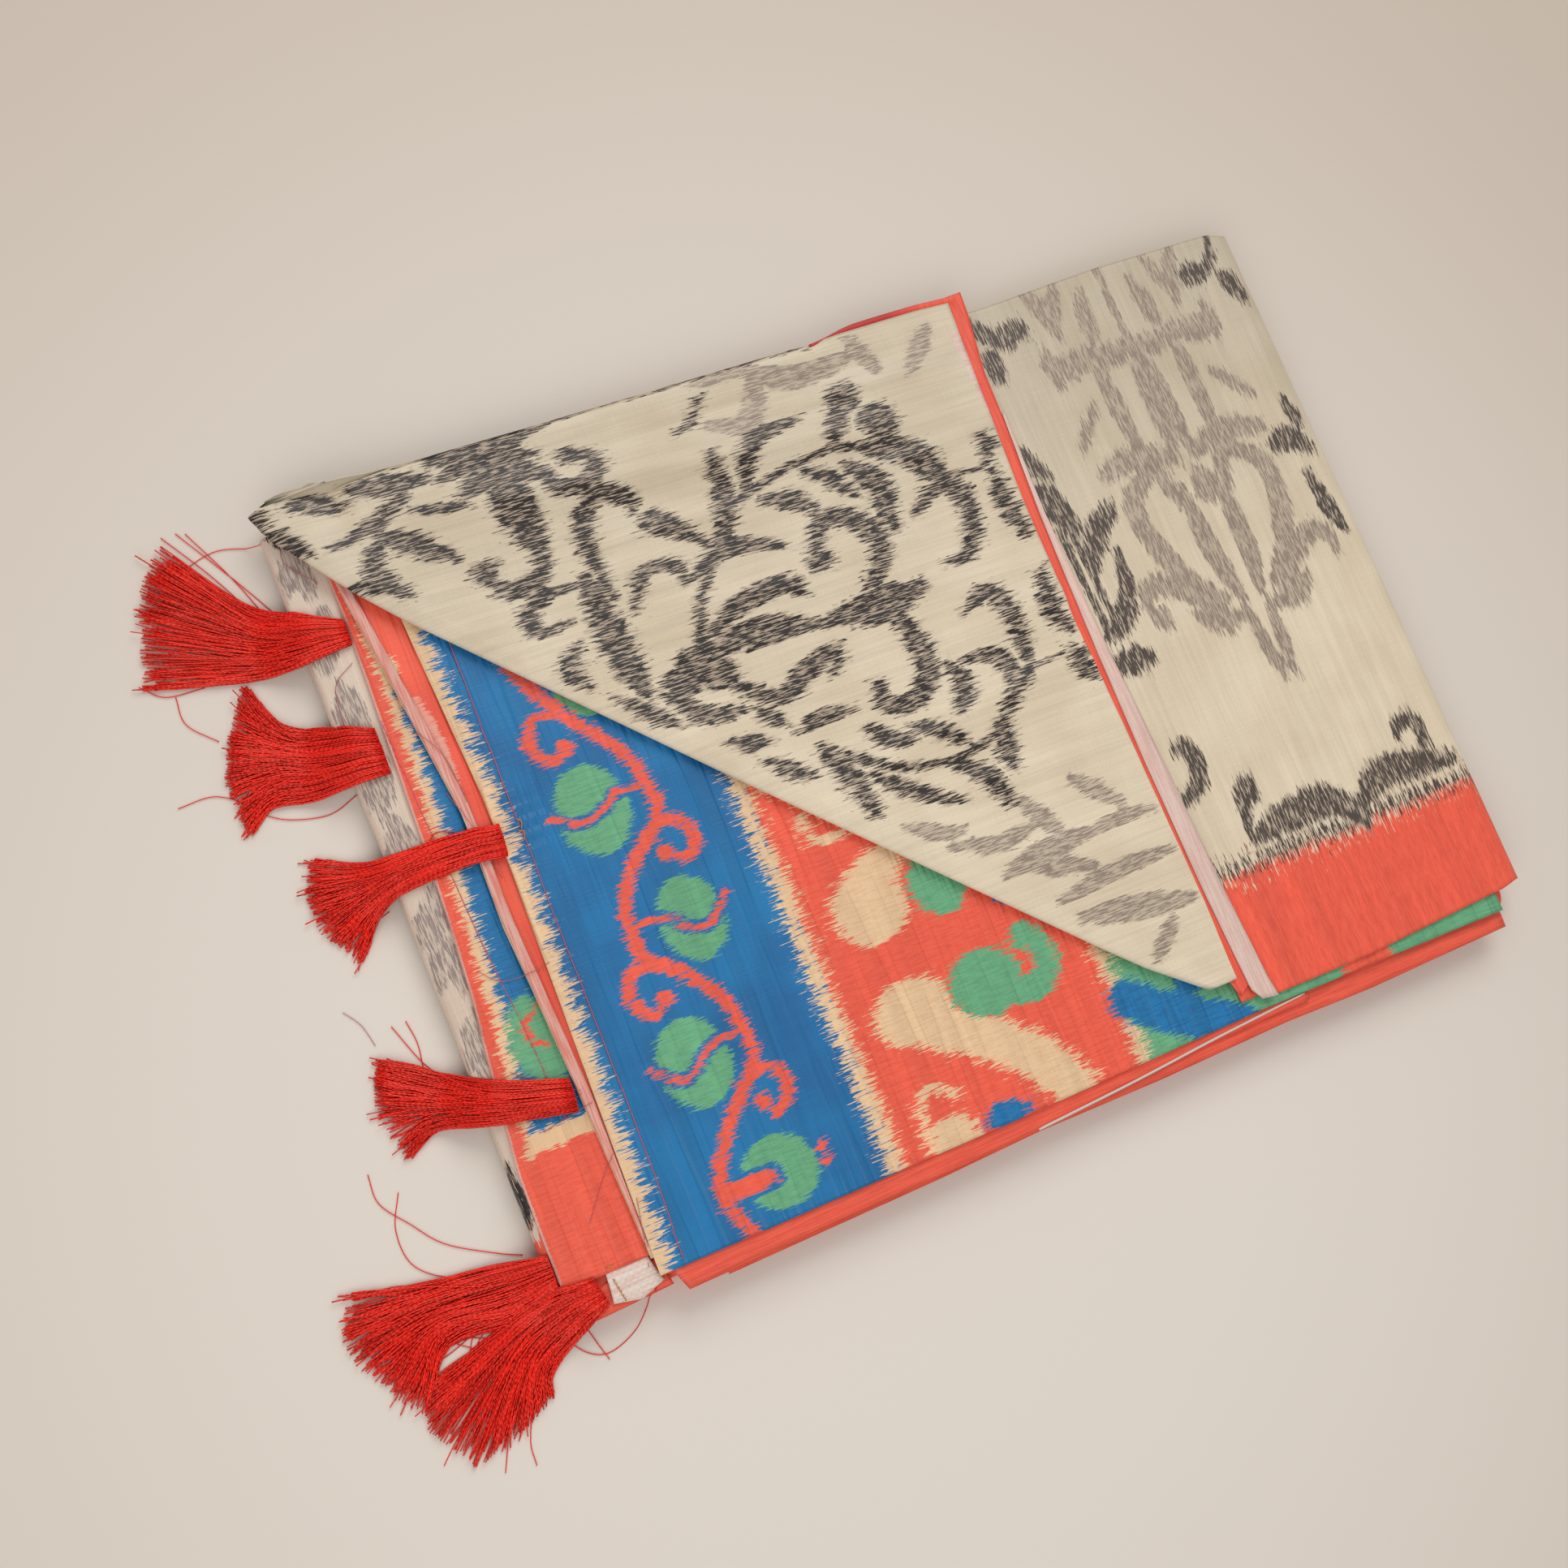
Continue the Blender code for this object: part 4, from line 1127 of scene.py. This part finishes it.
def make_trims():
    red = streaked_material("red_border", CORAL, "x")
    # painted shade: the hem's top run is darker red on its shadowed side
    hem = streaked_material("red_hem", CORAL, "y", painted_shade_above=138.0)
    pink = streaked_material("pink_reverse", PINK, "y", 0.4)
    facing = streaked_material("pink_facing", PINK_FACING, "y", 0.8)
    patch = streaked_material("checked_patch", PALE_FOLD, "x", 0.4, 2.4)
    ribbon_cloth("flap_hem_pink", pink, (7, 90))
    ribbon_cloth("border_upper", red, (90, 7))
    ribbon_cloth("border_lower", red, (90, 7))
    ribbon_cloth("corner_low_edge", red, (24, 7))
    ribbon_cloth("corner_patch", patch, (20, 9), tucked=2.6)
    ribbon_cloth("second_facing", facing, (7, 110))
    make_red_hem(hem)


HEM_COLUMNS = 8
HEM_TOP_FROM = 14.0     # the x where the hem's run along the top starts
HEM_CORNER = 8.0        # how far from the corner the mitre starts, mm
HEM_FOOT = -129.0       # below this y the hem's inner edge bends aside
HEM_FOOT_X = 69.3


def make_red_hem(material):
    """The red turned hem: a narrow run along the flap's top, a mitred corner and a long run down."""
    low, high = node_box("flap_hem_red")
    level = (high[2] - 0.4,)
    right = edge_table("flap_hem_red", "right", 120, level)
    cream_right = edge_table("turned_flap", "right", 120, level)
    rows = []
    corner_x = high[0] - HEM_CORNER
    for x in np.linspace(HEM_TOP_FROM, corner_x, 40):
        edge_y = read(CREAM_TOP, x)
        rows.append(((x, edge_y - 2.0), (x, edge_y + 2.2 * smoothstep((x - HEM_TOP_FROM) / 22))))
    rows.append(((corner_x + 0.4, edge_y - 2.2), (high[0] - 0.1, high[1] + 0.1)))
    for y in np.linspace(high[1] - HEM_CORNER, low[1] + 0.2, 110):
        inner_x = read(cream_right, min(y, HEM_STRAIGHT_TO)) - 1.6
        if y < HEM_FOOT:
            inner_x = max(inner_x, HEM_FOOT_X - 0.3 * (y + 136))
        rows.append(((inner_x, y), (read(right, y), y)))
    share = np.linspace(0, 1, HEM_COLUMNS)
    inner, outer = np.array(rows).transpose(1, 0, 2)[:, :, None]
    places = inner + (outer - inner) * share[None, :, None]
    height = high[2] - 0.8 + 0.8 * smoothstep((share - 0.3) / 0.3)
    grid = np.dstack([places, np.broadcast_to(height, places.shape[:2])])
    cloth_shell("flap_hem_red", grid[:, ::-1], material)


# The hidden folds

FOLDS = 11
FOLD_CORNER = 7.0
FOLD_SIDE_STEPS = 45
FOLD_CORNER_STEPS = 6
FOLD_INSET = 2.6        # how much further the folds' left ends lie in, mm
CORNER_DRAW = 6.0       # how far the lower right corner of the hidden folds is drawn in, mm
# A fold's rounded edge, from its foot to its top: how far in it lies, mm, and its share of the height
FOLD_PROFILE = (
    (1.2, 0.0), (0.45, 0.12), (0.08, 0.32), (0.0, 0.5), (0.08, 0.68), (0.45, 0.88), (1.2, 1.0),
)


def make_core():
    """The hidden folds as thin round-edged slabs, each reaching a little differently."""
    low, high = node_box("folded_core")
    chance = random.Random(5)
    thickness = (high[2] - low[2]) / FOLDS
    points = []
    faces = []
    tints = []
    for fold in range(FOLDS):
        reach = [chance.uniform(0, 2.2) for _ in range(4)]
        reach[0] += FOLD_INSET
        if fold == FOLDS - 1:
            reach = [side + 1.2 for side in reach]
        bounds = (low[0] + reach[0], high[0] - reach[1] - 0.3, low[1] + reach[2] * 0.7, high[1] - reach[3])
        red = chance.random()
        base = len(points)
        ring = fold_ring(bounds, fold)
        for inset, rise in FOLD_PROFILE:
            for x, y, out_x, out_y, side in ring:
                x -= CORNER_DRAW * smoothstep((x - 150) / 45) * smoothstep((-105 - y) / 25)
                points.append((x - out_x * inset, y - out_y * inset, low[2] + thickness * (fold + rise)))
                tints.append((red if side == 2 else red * 0.4, side / 4, fold / FOLDS))
        add_ring_faces(faces, base, len(ring), len(FOLD_PROFILE))
    piece = mesh_object("core_folds", points, faces, core_material())
    add_vectors(piece, "tint", tints)
    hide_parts("folded_core")


def add_ring_faces(faces, base, count, bands):
    """Closes a stack of rings of points: the sides, then the first ring and the last."""
    for band in range(bands - 1):
        lower = base + band * count
        upper = lower + count
        for place in range(count):
            following = (place + 1) % count
            faces.append([lower + place, lower + following, upper + following, upper + place])
    faces.append([base + place for place in reversed(range(count))])
    faces.append([base + (bands - 1) * count + place for place in range(count)])


def fold_ring(bounds, seed):
    """Places round a rounded rectangle, with the outward direction and side of each."""
    left, right, bottom, top = bounds
    inner_left = left + FOLD_CORNER
    inner_right = right - FOLD_CORNER
    inner_bottom = bottom + FOLD_CORNER
    inner_top = top - FOLD_CORNER
    sides = [
        ((right, inner_bottom), (right, inner_top), (inner_right, inner_top)),
        ((inner_right, top), (inner_left, top), (inner_left, inner_top)),
        ((left, inner_top), (left, inner_bottom), (inner_left, inner_bottom)),
        ((inner_left, bottom), (inner_right, bottom), (inner_right, inner_bottom)),
    ]
    ring = []
    for number, (start, end, centre) in enumerate(sides):
        angle = 90 * number
        out = (math.cos(math.radians(angle)), math.sin(math.radians(angle)))
        for share in np.linspace(0, 1, FOLD_SIDE_STEPS):
            noise = float(wave_noise(share * 60 + seed * 17, 81 + number, 12))
            sway = abs(0.55 * math.sin(math.pi * share) * noise)
            x = start[0] + (end[0] - start[0]) * share - out[0] * sway
            y = start[1] + (end[1] - start[1]) * share - out[1] * sway
            ring.append((x, y, *out, number))
        for step in range(1, FOLD_CORNER_STEPS):
            turn = math.radians(angle + 90 * step / FOLD_CORNER_STEPS)
            out = (math.cos(turn), math.sin(turn))
            ring.append((centre[0] + FOLD_CORNER * out[0], centre[1] + FOLD_CORNER * out[1], *out, number))
    return ring


def core_material():
    material, nodes = new_material("core_cloth", 0.6, 0.1)
    tint = nodes.parts(nodes.attribute("tint"))
    place = nodes.place()
    patches = nodes.noise(nodes.scaled(place, (0.02, 0.02, 0.7)), detail=3.0)
    streak = nodes.noise(nodes.scaled(place, (0.5, 0.5, 6.0)))
    border = nodes.math("SUBTRACT", nodes.swing(streak, 8.0), nodes.parts(place)[1])
    red = nodes.ramp(nodes.plus(tint[0], nodes.times(patches, 0.5)), 0.75, 0.85)
    red = nodes.math("MAXIMUM", red, nodes.ramp(border, 95.0, 97.0))
    colour = nodes.mix(streak, *CREAM, strength=0.5)
    colour = nodes.mix(nodes.ramp(patches, 0.6, 0.66), colour, INK[1], strength=0.6)
    normal = nodes.bump(streak, strength=0.3, distance=0.0004)
    nodes.show(nodes.mix(red, colour, CORAL[0]), Normal=normal)
    return material


# Tassels

# A tassel's bundle of threads at its neck, a third and two thirds of the way along, each as the
# upper and the lower edge, and then its tips from upper to lower.
Tassel = namedtuple("Tassel", "number neck inner outer tips threads")
TASSELS = [
    Tassel(1, [(-181, 97), (-181, 88)], [(-195, 105), (-199, 87)], [(-208, 116), (-215, 90)],
           [(-226, 140), (-233, 139), (-243, 124), (-247, 111), (-249, 98)], 360),
    Tassel(2, [(-184.3, 58), (-184.6, 42)], [(-199, 65), (-207, 43)], [(-211, 71), (-223, 46)],
           [(-219, 89), (-229, 74), (-235, 60), (-236, 46), (-234, 40)], 420),
    Tassel(3, [(-158, 13), (-159, 2)], [(-172, 15), (-177, 4)], [(-198, 16), (-200, 2)],
           [(-219, 25), (-224, 15), (-224, 1), (-216, -13)], 300),
    Tassel(4, [(-167, -74), (-168, -85)], [(-189, -66), (-194, -79)], [(-205, -56), (-211, -73)],
           [(-221, -45), (-225, -50), (-229, -63), (-224, -78)], 320),
    Tassel(5, [(-194.5, -124), (-195, -136)], [(-213, -120), (-208, -141)], [(-235, -117), (-232, -138.5)],
           [(-259, -111), (-264, -121), (-262, -134), (-254, -151), (-246, -153)], 320),
    Tassel(6, [(-183.5, -136.5), (-181.3, -146)], [(-201, -135), (-191, -151)],
           [(-222, -142), (-205, -159)],
           [(-245, -148), (-248, -161), (-238, -177), (-221, -173), (-208, -166)], 400),
]
THREAD_RADIUS = 0.26
THREAD_SIDES = 3
SIDE_TURN = 2.1         # how far the twist is turned from one side of a thread to the next
CLUMPS = 15             # threads of a tassel that cling together
PATH_STEPS = 5
FLOOR_GAP = 0.35
PILE_HEIGHT = 3.2
STRAY_SHARE = 0.08
FALL = 0.62             # how steeply a tassel drops past the stack's edge
FULL_TURN = 6.28
CLOTH_FROM = -200.0     # no cloth lies left of this x
ABOVE_ALL = 60          # a height above the whole stack, mm
UNDER_TASSELS = (
    "pallu_top", "second_facing", "pallu_second", "pallu_third", "lower_wrap", "corner_patch",
    "corner_low_edge", "folded_core",
)


def support_height(x, y):
    """The top of the cloth under a place, or the floor past the stack's edge."""
    best = 0.0
    if x > CLOTH_FROM:
        for node in UNDER_TASSELS:
            point = hit(node, (x, y, ABOVE_ALL), (0, 0, -1))
            if point is not None:
                best = max(best, point[2])
    return best


def ease_heights(places):
    """Heights that rest on what lies below, with the drop past the stack's edge spread out."""
    heights = np.array([support_height(x, y) for x, y in places])
    reach = run_along(places)
    eased = heights.copy()
    for place in range(1, len(heights)):
        fallen = heights[:place] - FALL * (reach[place] - reach[:place])
        eased[place] = max(heights[place], fallen.max())
    smooth = np.convolve(np.pad(eased, 1, mode="edge"), [0.25, 0.5, 0.25], mode="valid")
    return np.maximum(smooth, heights) + FLOOR_GAP


def along(places, share):
    """The place at a share of the way through a short list of places."""
    spot = np.clip(share, 0, 1) * (len(places) - 1)
    low = min(int(spot), len(places) - 2)
    start = np.array(places[low], float)
    return start + (np.array(places[low + 1], float) - start) * (spot - low)


def thread_path(tassel, share, wander, length):
    """A thread seen from above: it starts at its share of the neck and may wander from it."""
    neck = along(tassel.neck, share + 0.1 * wander)
    inner = along(tassel.inner, share + 0.3 * wander)
    outer = along(tassel.outer, share + 0.7 * wander)
    tip = outer + (along(tassel.tips, share + wander) - outer) * length
    return smooth_path([neck, inner, outer, tip], PATH_STEPS)


def heading(path):
    """The direction of a path at each of its places."""
    ahead = np.gradient(path, axis=0)
    return ahead / np.linalg.norm(ahead, axis=1, keepdims=True)


def make_tassel(tassel, material):
    """Several hundred twisted threads that leave the cloth together and fan out over the floor."""
    chance = random.Random(100 + tassel.number)
    ground = ease_heights(thread_path(tassel, 0.5, 0.0, 1.0))
    run = np.linspace(0, 1, len(ground))
    points = []
    faces = []
    facts = []
    clumps = [
        ((number + chance.random()) / CLUMPS, chance.gauss(0, 0.13), 1.0 - 0.16 * chance.random() ** 2)
        for number in range(CLUMPS)
    ]
    for _ in range(tassel.threads):
        share, wander, length = chance.choice(clumps)
        share = abs(share + chance.gauss(0, 0.09))
        share = abs(1 - abs(1 - share))
        wander += chance.gauss(0, 0.06)
        length -= 0.24 * chance.random() ** 2.5
        if chance.random() < STRAY_SHARE:
            wander += chance.choice((-1, 1)) * chance.uniform(0.3, 0.8)
            length = chance.uniform(0.8, 1.16)
        flat = thread_path(tassel, share, wander, length)
        ahead = heading(flat)
        width = chance.uniform(0.3, 1.5)
        sway = width * np.sin(chance.uniform(0, FULL_TURN) + chance.uniform(5, 13) * run) * run
        flat = flat + np.column_stack([-ahead[:, 1], ahead[:, 0]]) * sway[:, None]
        pile = PILE_HEIGHT * (1 - 0.5 * (2 * share - 1) ** 2) * (1 - 0.4 * run)
        rise = chance.random() * pile + 0.3 * np.abs(np.sin(chance.uniform(0, FULL_TURN) + 5 * run))
        level = [max(rest, support_height(x, y) + FLOOR_GAP) for rest, (x, y) in zip(ground, flat)]
        path = np.column_stack([flat, np.array(level) + rise])
        add_tube(points, faces, facts, path, THREAD_RADIUS * chance.uniform(0.85, 1.15), chance)
    piece = mesh_object(f"tassel_{tassel.number}_threads", points, faces, material)
    add_vectors(piece, "thread", facts)
    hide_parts(f"tassel_{tassel.number}")


def add_tube(points, faces, facts, path, radius, chance):
    """A thin closed tube along a path, of three sides."""
    ahead = heading(path)
    side = np.cross(ahead, [0, 0, 1])
    side /= np.linalg.norm(side, axis=1, keepdims=True) + 1e-9
    up = np.cross(side, ahead)
    base = len(points)
    run = run_along(path)
    tone = 1 - chance.random() ** 2
    turn = chance.uniform(0, FULL_TURN)
    for number, place in enumerate(path):
        for corner in range(THREAD_SIDES):
            angle = 2 * math.pi * corner / THREAD_SIDES + math.pi / 2
            point = place + radius * (math.cos(angle) * side[number] + math.sin(angle) * up[number])
            points.append(tuple(point))
            facts.append((run[number], tone, turn + corner * SIDE_TURN))
    add_ring_faces(faces, base, THREAD_SIDES, len(path))


def make_tassels():
    material = silk_material()
    for tassel in TASSELS:
        make_tassel(tassel, material)


# Loose threads and stitches

TWISTS_PER_METRE = 2500


def thread_material(name, colour):
    material, nodes = new_material(name, 0.45)
    dark = tuple(value * 0.8 for value in colour[:3]) + (1.0,)
    nodes.show(nodes.mix(nodes.noise(nodes.place(TWISTS_PER_METRE), detail=1.0), dark, colour))
    return material


# Each row holds the x and y of the places that a thread passes.
RED_THREADS = [
    (-226, 146, -216, 130, -208, 115), (-221, 146, -209, 126, -200, 110), (-218, 145, -209, 126, -203, 110),
    (-223, 133, -210, 136, -195, 132), (-250, 99, -243, 93, -230, 92), (-240, 92, -240, 82, -232, 73),
    (-218, 84, -213, 72, -205, 66, -196, 64), (-235, 54, -228, 46, -221, 41, -211, 38, -204, 38, -196, 41),
    (-252, 56, -240, 56, -230, 50), (-236, 39, -230, 43, -222, 50), (-220, 26, -212, 20, -200, 16),
    (-217, -12, -208, -3, -200, 0), (-182, 15, -178, 18, -172, 16), (-213, -36, -208, -50, -203, -58),
    (-208, -36, -207, -44, -208, -52),
    (-237, -78, -237, -88, -230, -98, -222, -108, -208, -117, -200, -121),
    (-230, -87, -235, -98, -234, -110, -225, -118, -213, -120),
    (-198, -150, -192, -158, -185, -161, -175, -158, -168, -152, -165, -147),
    (-220, -184, -219, -176, -213, -165, -205, -158), (-230, -182, -227, -176, -224, -170),
    (-190, -148, -188, -156, -186, -163), (-247, -172, -240, -166, -228, -158),
    (-207, -134, -219, -138, -231, -147, -240, -152), (-210, -147, -220, -141, -233, -136, -246, -133),
    (-209, -137, -221, -137.5, -234, -141, -247, -143), (-212, -131, -222, -136, -229, -146, -238, -158),
    (-205, -141, -217, -140, -228, -137, -240, -137), (-214, -148, -224, -143, -232, -137, -241, -129),
]
PINK_THREADS = [
    (-226, -26, -222, -32, -220, -40), (-182, -30, -176, -36, -166, -37, -159, -36),
    (-184, -65, -175, -72, -165, -79), (-180, -83, -172, -82, -165, -80), (-181, -87, -170, -85, -163, -84),
    (-178, -120, -170, -110, -163, -102), (-165, -140, -163, -128, -161, -118),
    (-184, 112, -192, 122, -190, 131), (-183, 82, -191, 76, -193, 62), (-170, 30, -166, 14, -163, -4),
    (-172, 52, -166, 40, -165, 24),
]
# The running stitches lie on one layer each, through these places.
STITCH_LINES = [
    ("pallu_top", (-150.5, 84, -151, 40, -151.4, 10)),
    ("pallu_top", (-151.2, 9, -152, -60, -152.2, -100, -154, -142)),
    ("pallu_third", (-181.5, 60, -179.5, 20, -177, -20, -174, -60, -172.5, -86)),
]
GOLD_KNOTS = [
    ("pallu_top", (-151.6, 13, -150.4, 11.5, -151.2, 9)),
    ("pallu_top", (-152.4, 9, -150.8, 8, -151.6, 5.5)),
    ("pallu_third", (-178, -134.5, -176.8, -135.2, -175.6, -135)),
]
PATCH_STITCHES = 6
PALE_EDGE = [(-21, -150.6), (20, -148.8), (55, -146.6), (95, -144.6)]


def settled(rows, lift):
    """Threads through the rows' places, laid on what is below them."""
    paths = []
    for row in rows:
        flat = smooth_path(np.reshape(row, (-1, 2)))
        rest = np.array([support_height(x, y) for x, y in flat])
        rest = np.maximum(rest, np.convolve(np.pad(rest, 2, mode="edge"), np.ones(5) / 5, mode="valid"))
        paths.append(np.column_stack([flat, rest + lift]))
    return paths


def thread_piece(name, material, paths, radius):
    chance = random.Random(len(name))
    points, faces, facts = [], [], []
    for path in paths:
        add_tube(points, faces, facts, path, radius, chance)
    piece = mesh_object(name, points, faces, material)


def stitch_paths():
    """The running stitches, which rise and sink as they go along."""
    for node, row in STITCH_LINES:
        x, y = smooth_path(np.reshape(row, (-1, 2)), 60).T
        level = node_box(node)[1][2] + 0.05 + 0.12 * np.sin(y * 2.2)
        yield np.column_stack([x + 0.25 * wave_noise(y, 91, 9, 2), y, level])


def knot_paths():
    """The gold knots, and the short stitches along the patch's end."""
    for node, row in GOLD_KNOTS:
        flat = smooth_path(np.reshape(row, (-1, 2)))
        level = node_box(node)[1][2] + 0.25 + 0.4 * np.sin(np.linspace(0, math.pi, len(flat)))
        yield np.column_stack([flat, level])
    low, high = node_box("corner_patch")
    for number in range(PATCH_STITCHES):
        start = np.array([low[0] + 2.4 + 0.25 * number, high[1] - 1.6 - number * 1.4, high[2]])
        yield start + [(0, 0, 0), (0.5, -0.4, 0.3), (0.3, -1.0, 0)]


def make_threads():
    """Threads that have come loose, the running stitches, the knots and the pale folded edge."""
    red = thread_material("thread_red", SILK)
    pink = thread_material("thread_pink", THREAD_PINK)
    stitch = thread_material("thread_stitch", STITCH_PINK)
    gold = thread_material("thread_gold", GOLD_THREAD)
    pale = thread_material("pale_edge", PALE_FOLD[0])
    thread_piece("loose_threads_red", red, settled(RED_THREADS, 0.5), 0.2)
    thread_piece("loose_threads_pink", pink, settled(PINK_THREADS, 0.45), 0.14)
    thread_piece("running_stitches", stitch, stitch_paths(), 0.2)
    thread_piece("gold_stitches", gold, knot_paths(), 0.24)
    flat = smooth_path(PALE_EDGE, 20)
    edge = np.column_stack([flat, np.full(len(flat), node_box("border_upper")[1][2] - 0.1)])
    thread_piece("border_pale_edge", pale, [edge], 0.75)


# Floor and light

FLOOR_SIZE = 6              # m
FLOOR_PAINTED_LIGHT = (-0.06, -0.1, 0.0)      # the middle of the pool of light painted on the floor, where it is palest


def make_stage():
    bpy.ops.mesh.primitive_plane_add(size=FLOOR_SIZE, location=(0, 0, 0))
    floor = bpy.context.object
    floor.name = "floor"
    material, nodes = new_material("floor_paint", 0.85)
    ends = {0: nodes.place(1), 1: FLOOR_PAINTED_LIGHT}
    away = nodes.add("ShaderNodeVectorMath", "Value", ends, operation="DISTANCE")
    # painted light and shade: the floor darkens away from a painted pool of light
    nodes.show(nodes.mix(nodes.ramp(away, 0.1, 0.6), FLOOR, FLOOR_PAINTED_SHADE))
    floor.data.materials.append(material)


def add_light(name, place, size, power, colour):
    """A square light that faces the saree."""
    light = bpy.data.lights.new(name, "AREA")
    light.energy = power
    light.size = size
    light.color = colour
    lamp = bpy.data.objects.new(name, light)
    bpy.context.scene.collection.objects.link(lamp)
    lamp.location = place
    lamp.rotation_euler = (-Vector(place)).to_track_quat("-Z", "Y").to_euler()


def make_light():
    world = bpy.data.worlds.new("soft_surround")
    world.use_nodes = True
    background = world.node_tree.nodes["Background"]
    background.inputs["Color"].default_value = (1.0, 0.98, 0.95, 1)
    background.inputs["Strength"].default_value = 0.45
    bpy.context.scene.world = world
    add_light("window", (0.6, 1.3, 1.6), size=1.4, power=21, colour=(1.0, 0.98, 0.95))
    add_light("fill", (-1.0, -0.9, 1.5), size=1.6, power=15, colour=(1.0, 0.99, 0.97))


set_camera()
make_core()
make_wrap()
make_pallu_third()
make_pallu_second()
make_pallu_top()
make_leaf()
make_flap()
make_trims()
make_tassels()
make_threads()
make_stage()
make_light()
bpy.context.scene.view_settings.view_transform = "Standard"
